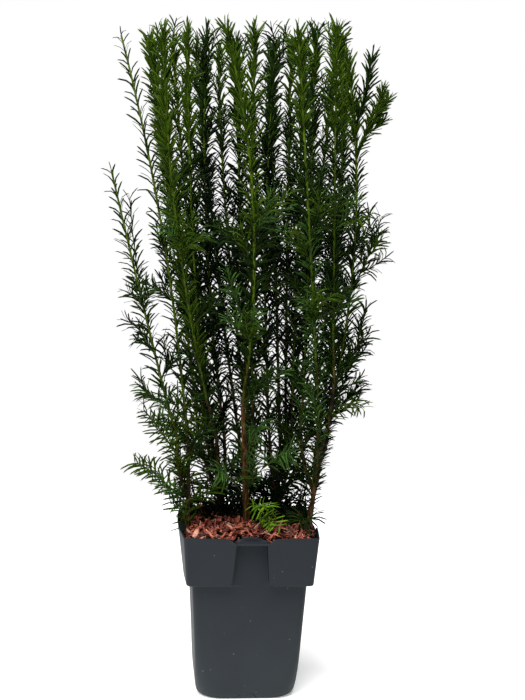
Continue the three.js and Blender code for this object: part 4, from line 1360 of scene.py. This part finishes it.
# In two rows, each side has its own half of the shapes.
half = clad.math("MULTIPLY", clad.math("MULTIPLY", parity, inp["Two_rows"]), NEEDLE_SHAPES / 2)
picks = clad.math("SUBTRACT", NEEDLE_SHAPES - 1.0, clad.math("MULTIPLY", inp["Two_rows"], NEEDLE_SHAPES / 2))
pick = clad("GeometryNodeCollectionInfo", Collection=inp["Needle"], Separate_Children=True)
placed = clad(
    "GeometryNodeInstanceOnPoints",
    Points=even.outputs[0],
    Instance=pick.outputs[0],
    Pick_Instance=True,
    Instance_Index=clad.math("ADD", clad.random(0, picks, 23, "INT"), half),
    Rotation=turned.outputs[0],
    Scale=clad.math("MULTIPLY", grown, inp["Length"]),
)
clad.finish(placed.outputs[0], inp["Material"])

# kind: dark and light of its green, slot. deep, mid and light are shaded and lit copies of one green,
# painted shade and painted light; cool is a paler bluish green whose blue is a painted sheen; fresh is the
# new growth's own green.
GREENS = {
    "deep": ((0.0009, 0.0032, 0.0008), (0.0030, 0.0085, 0.0016), "foliage"),
    "mid": ((0.0042, 0.0125, 0.0013), (0.012, 0.027, 0.0026), "foliage"),
    "cool": ((0.012, 0.035, 0.006), (0.042, 0.092, 0.017), "foliage"),
    "light": ((0.012, 0.030, 0.0012), (0.033, 0.061, 0.0022), "foliage"),
    "fresh": ((0.045, 0.12, 0.004), (0.12, 0.22, 0.012), "fresh_foliage"),
}
# style, way between needles, shape, is it flat, face of its plane, rise of its rows, straying
STYLES = [
    ("leader", 2.3, leader_needle, 0.0, (1, 0, 0), 0.0, 0.5),
    ("top", 1.7, top_needle, 0.0, (1, 0, 0), 0.0, 0.5),
    ("lone", 4.4, leader_needle, 0.0, (1, 0, 0), 0.0, 0.35),
    ("twig", 2.9, leader_needle, 0.0, (1, 0, 0), 0.0, 0.35),
    ("arm", 1.5, top_needle, 0.0, (1, 0, 0), 0.0, 0.35),
    ("flat", 3.2, side_needle, 1.0, (0, 0, 1), 0.15, 0.3),
    ("loose", 4.4, spray_needle, 1.0, (0, -0.5, 0.85), 0.15, 0.3),
    ("fan", 1.8, fan_needle, 1.0, (0, -0.6, 0.8), -0.15, 0.7),
    ("fresh", 4.8, fresh_needle, 1.0, (0, -0.8, 0.6), 0.0, 0.12),
]
PIECE_NEEDLES = 8500


def dealt(rows, pitch):
    """Deals shoots out from left to right into pieces with no more needles than one may have."""
    batches, count = [[]], 0
    for row in sorted(rows, key=lambda row: row[0][:, 0].mean()):
        needles = steps_of(row[0]).sum() / pitch
        if count + needles > PIECE_NEEDLES:
            batches.append([])
            count = 0
        batches[-1].append(row)
        count += needles
    return batches


for kind, (dark, light, slot) in GREENS.items():
    look = Finish("needles_" + kind, 0.5, 0.04)
    look.feed(look.surface, Base_Color=look.tones(look.grain(70, 3), (0.32, dark), (0.68, light)))
    look.relief(look.grain(900, 1), 0.15, 0.0004)
    material = look.material
    for style, pitch, needle, flat, face, rise, scatter in STYLES:
        batches = dealt(dressed.get((style, kind), []), pitch)
        for number, batch in enumerate(batches):
            if not batch:
                continue
            host = shoot_host("lines", batch)
            piece = clad.make(
                host,
                f"{style}_needles_{kind}" + (f"_{number + 1}" if len(batches) > 1 else ""),
                Needle=needle,
                Pitch=pitch * MM,
                Length=NEEDLE_LENGTH * MM,
                Two_rows=flat,
                Guide=face,
                Rise=rise,
                Scatter=scatter,
                Lean=0.1 * flat,
                Seed=31,
                Material=material,
            )
            bpy.data.objects.remove(host)
            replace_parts(settle(piece, material, None), *mass_nodes)

# The picture
# A plain pale floor that runs out to a white surround, soft light from the upper left, and the
# camera where the photographer stood: at chest height, a little to the left of the front.
FLOOR_HALF = 1.5
corners = [(x * FLOOR_HALF, y * FLOOR_HALF, 0) for x, y in ((-1, -1), (1, -1), (1, 1), (-1, 1))]
floor = in_scene("floor", made_mesh("floor", corners, [(0, 1, 2, 3)], unit=1))
look = Finish("pale_floor", 0.9)
paper = look.tones(look.grain(3, 2), (0.3, (0.86, 0.86, 0.86)), (0.7, (0.9, 0.9, 0.9)))
look.feed(look.surface, Base_Color=paper, Emission_Color=(1, 1, 1, 1), Emission_Strength=0.3)
floor.data.materials.append(look.material)
floor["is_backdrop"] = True

# The camera sees white, and the plant gets a faint cool light from all round.
world = bpy.data.worlds.new("surround")
bpy.context.scene.world = world
world.use_nodes = True
sky = Nodes(world.node_tree)
white = world.node_tree.nodes["Background"]
sky.feed(white, Color=(1, 1, 1, 1))
fill = sky("ShaderNodeBackground", Color=(0.93, 0.97, 1, 1), Strength=0.1)
either = sky("ShaderNodeMixShader", Fac=sky("ShaderNodeLightPath").outputs["Is Camera Ray"])
sky.put(either.inputs[1], fill.outputs["Background"])
sky.put(either.inputs[2], white.outputs["Background"])
sky.feed(world.node_tree.nodes["World Output"], Surface=either.outputs["Shader"])


def softbox(name, place, aim, width, power):
    light = bpy.data.lights.new(name, "AREA")
    light.shape = "SQUARE"
    light.size = width
    light.energy = power
    lamp = in_scene(name, light)
    towards = (Vector(aim) - Vector(place)).to_track_quat("-Z", "Y")
    lamp.matrix_world = Matrix.Translation(place) @ towards.to_matrix().to_4x4()


softbox("overhead", (-0.4, -0.7, 2.9), (0, 0, 0.2), 2.4, 250)
softbox("window", (-1.9, -2.2, 2.1), (0, 0, 0.75), 2.6, 42)

AZIMUTH = math.radians(-5.1)
DISTANCE = 2.3
EYE_HEIGHT = 0.895
PITCH = math.radians(6.757)
# How far the eye is from the picture, in pixels of a picture 700 tall.
FOCUS = 1280
ASIDE = math.atan(11.45 / FOCUS)
ROLL = 0.0272
SENSOR = 36
camera_data = bpy.data.cameras.new("camera")
camera_data.sensor_width = SENSOR
camera_data.lens = FOCUS * SENSOR / 700
camera = in_scene("camera", camera_data)
eye = Vector((math.sin(AZIMUTH) * DISTANCE, -math.cos(AZIMUTH) * DISTANCE, EYE_HEIGHT))
turn = Matrix.Rotation(AZIMUTH - ASIDE, 4, "Z") @ Matrix.Rotation(math.pi / 2 - PITCH, 4, "X")
camera.matrix_world = Matrix.Translation(eye) @ turn @ Matrix.Rotation(ROLL, 4, "Z")
bpy.context.scene.camera = camera
bpy.context.scene.view_settings.view_transform = "Standard"

low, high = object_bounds()
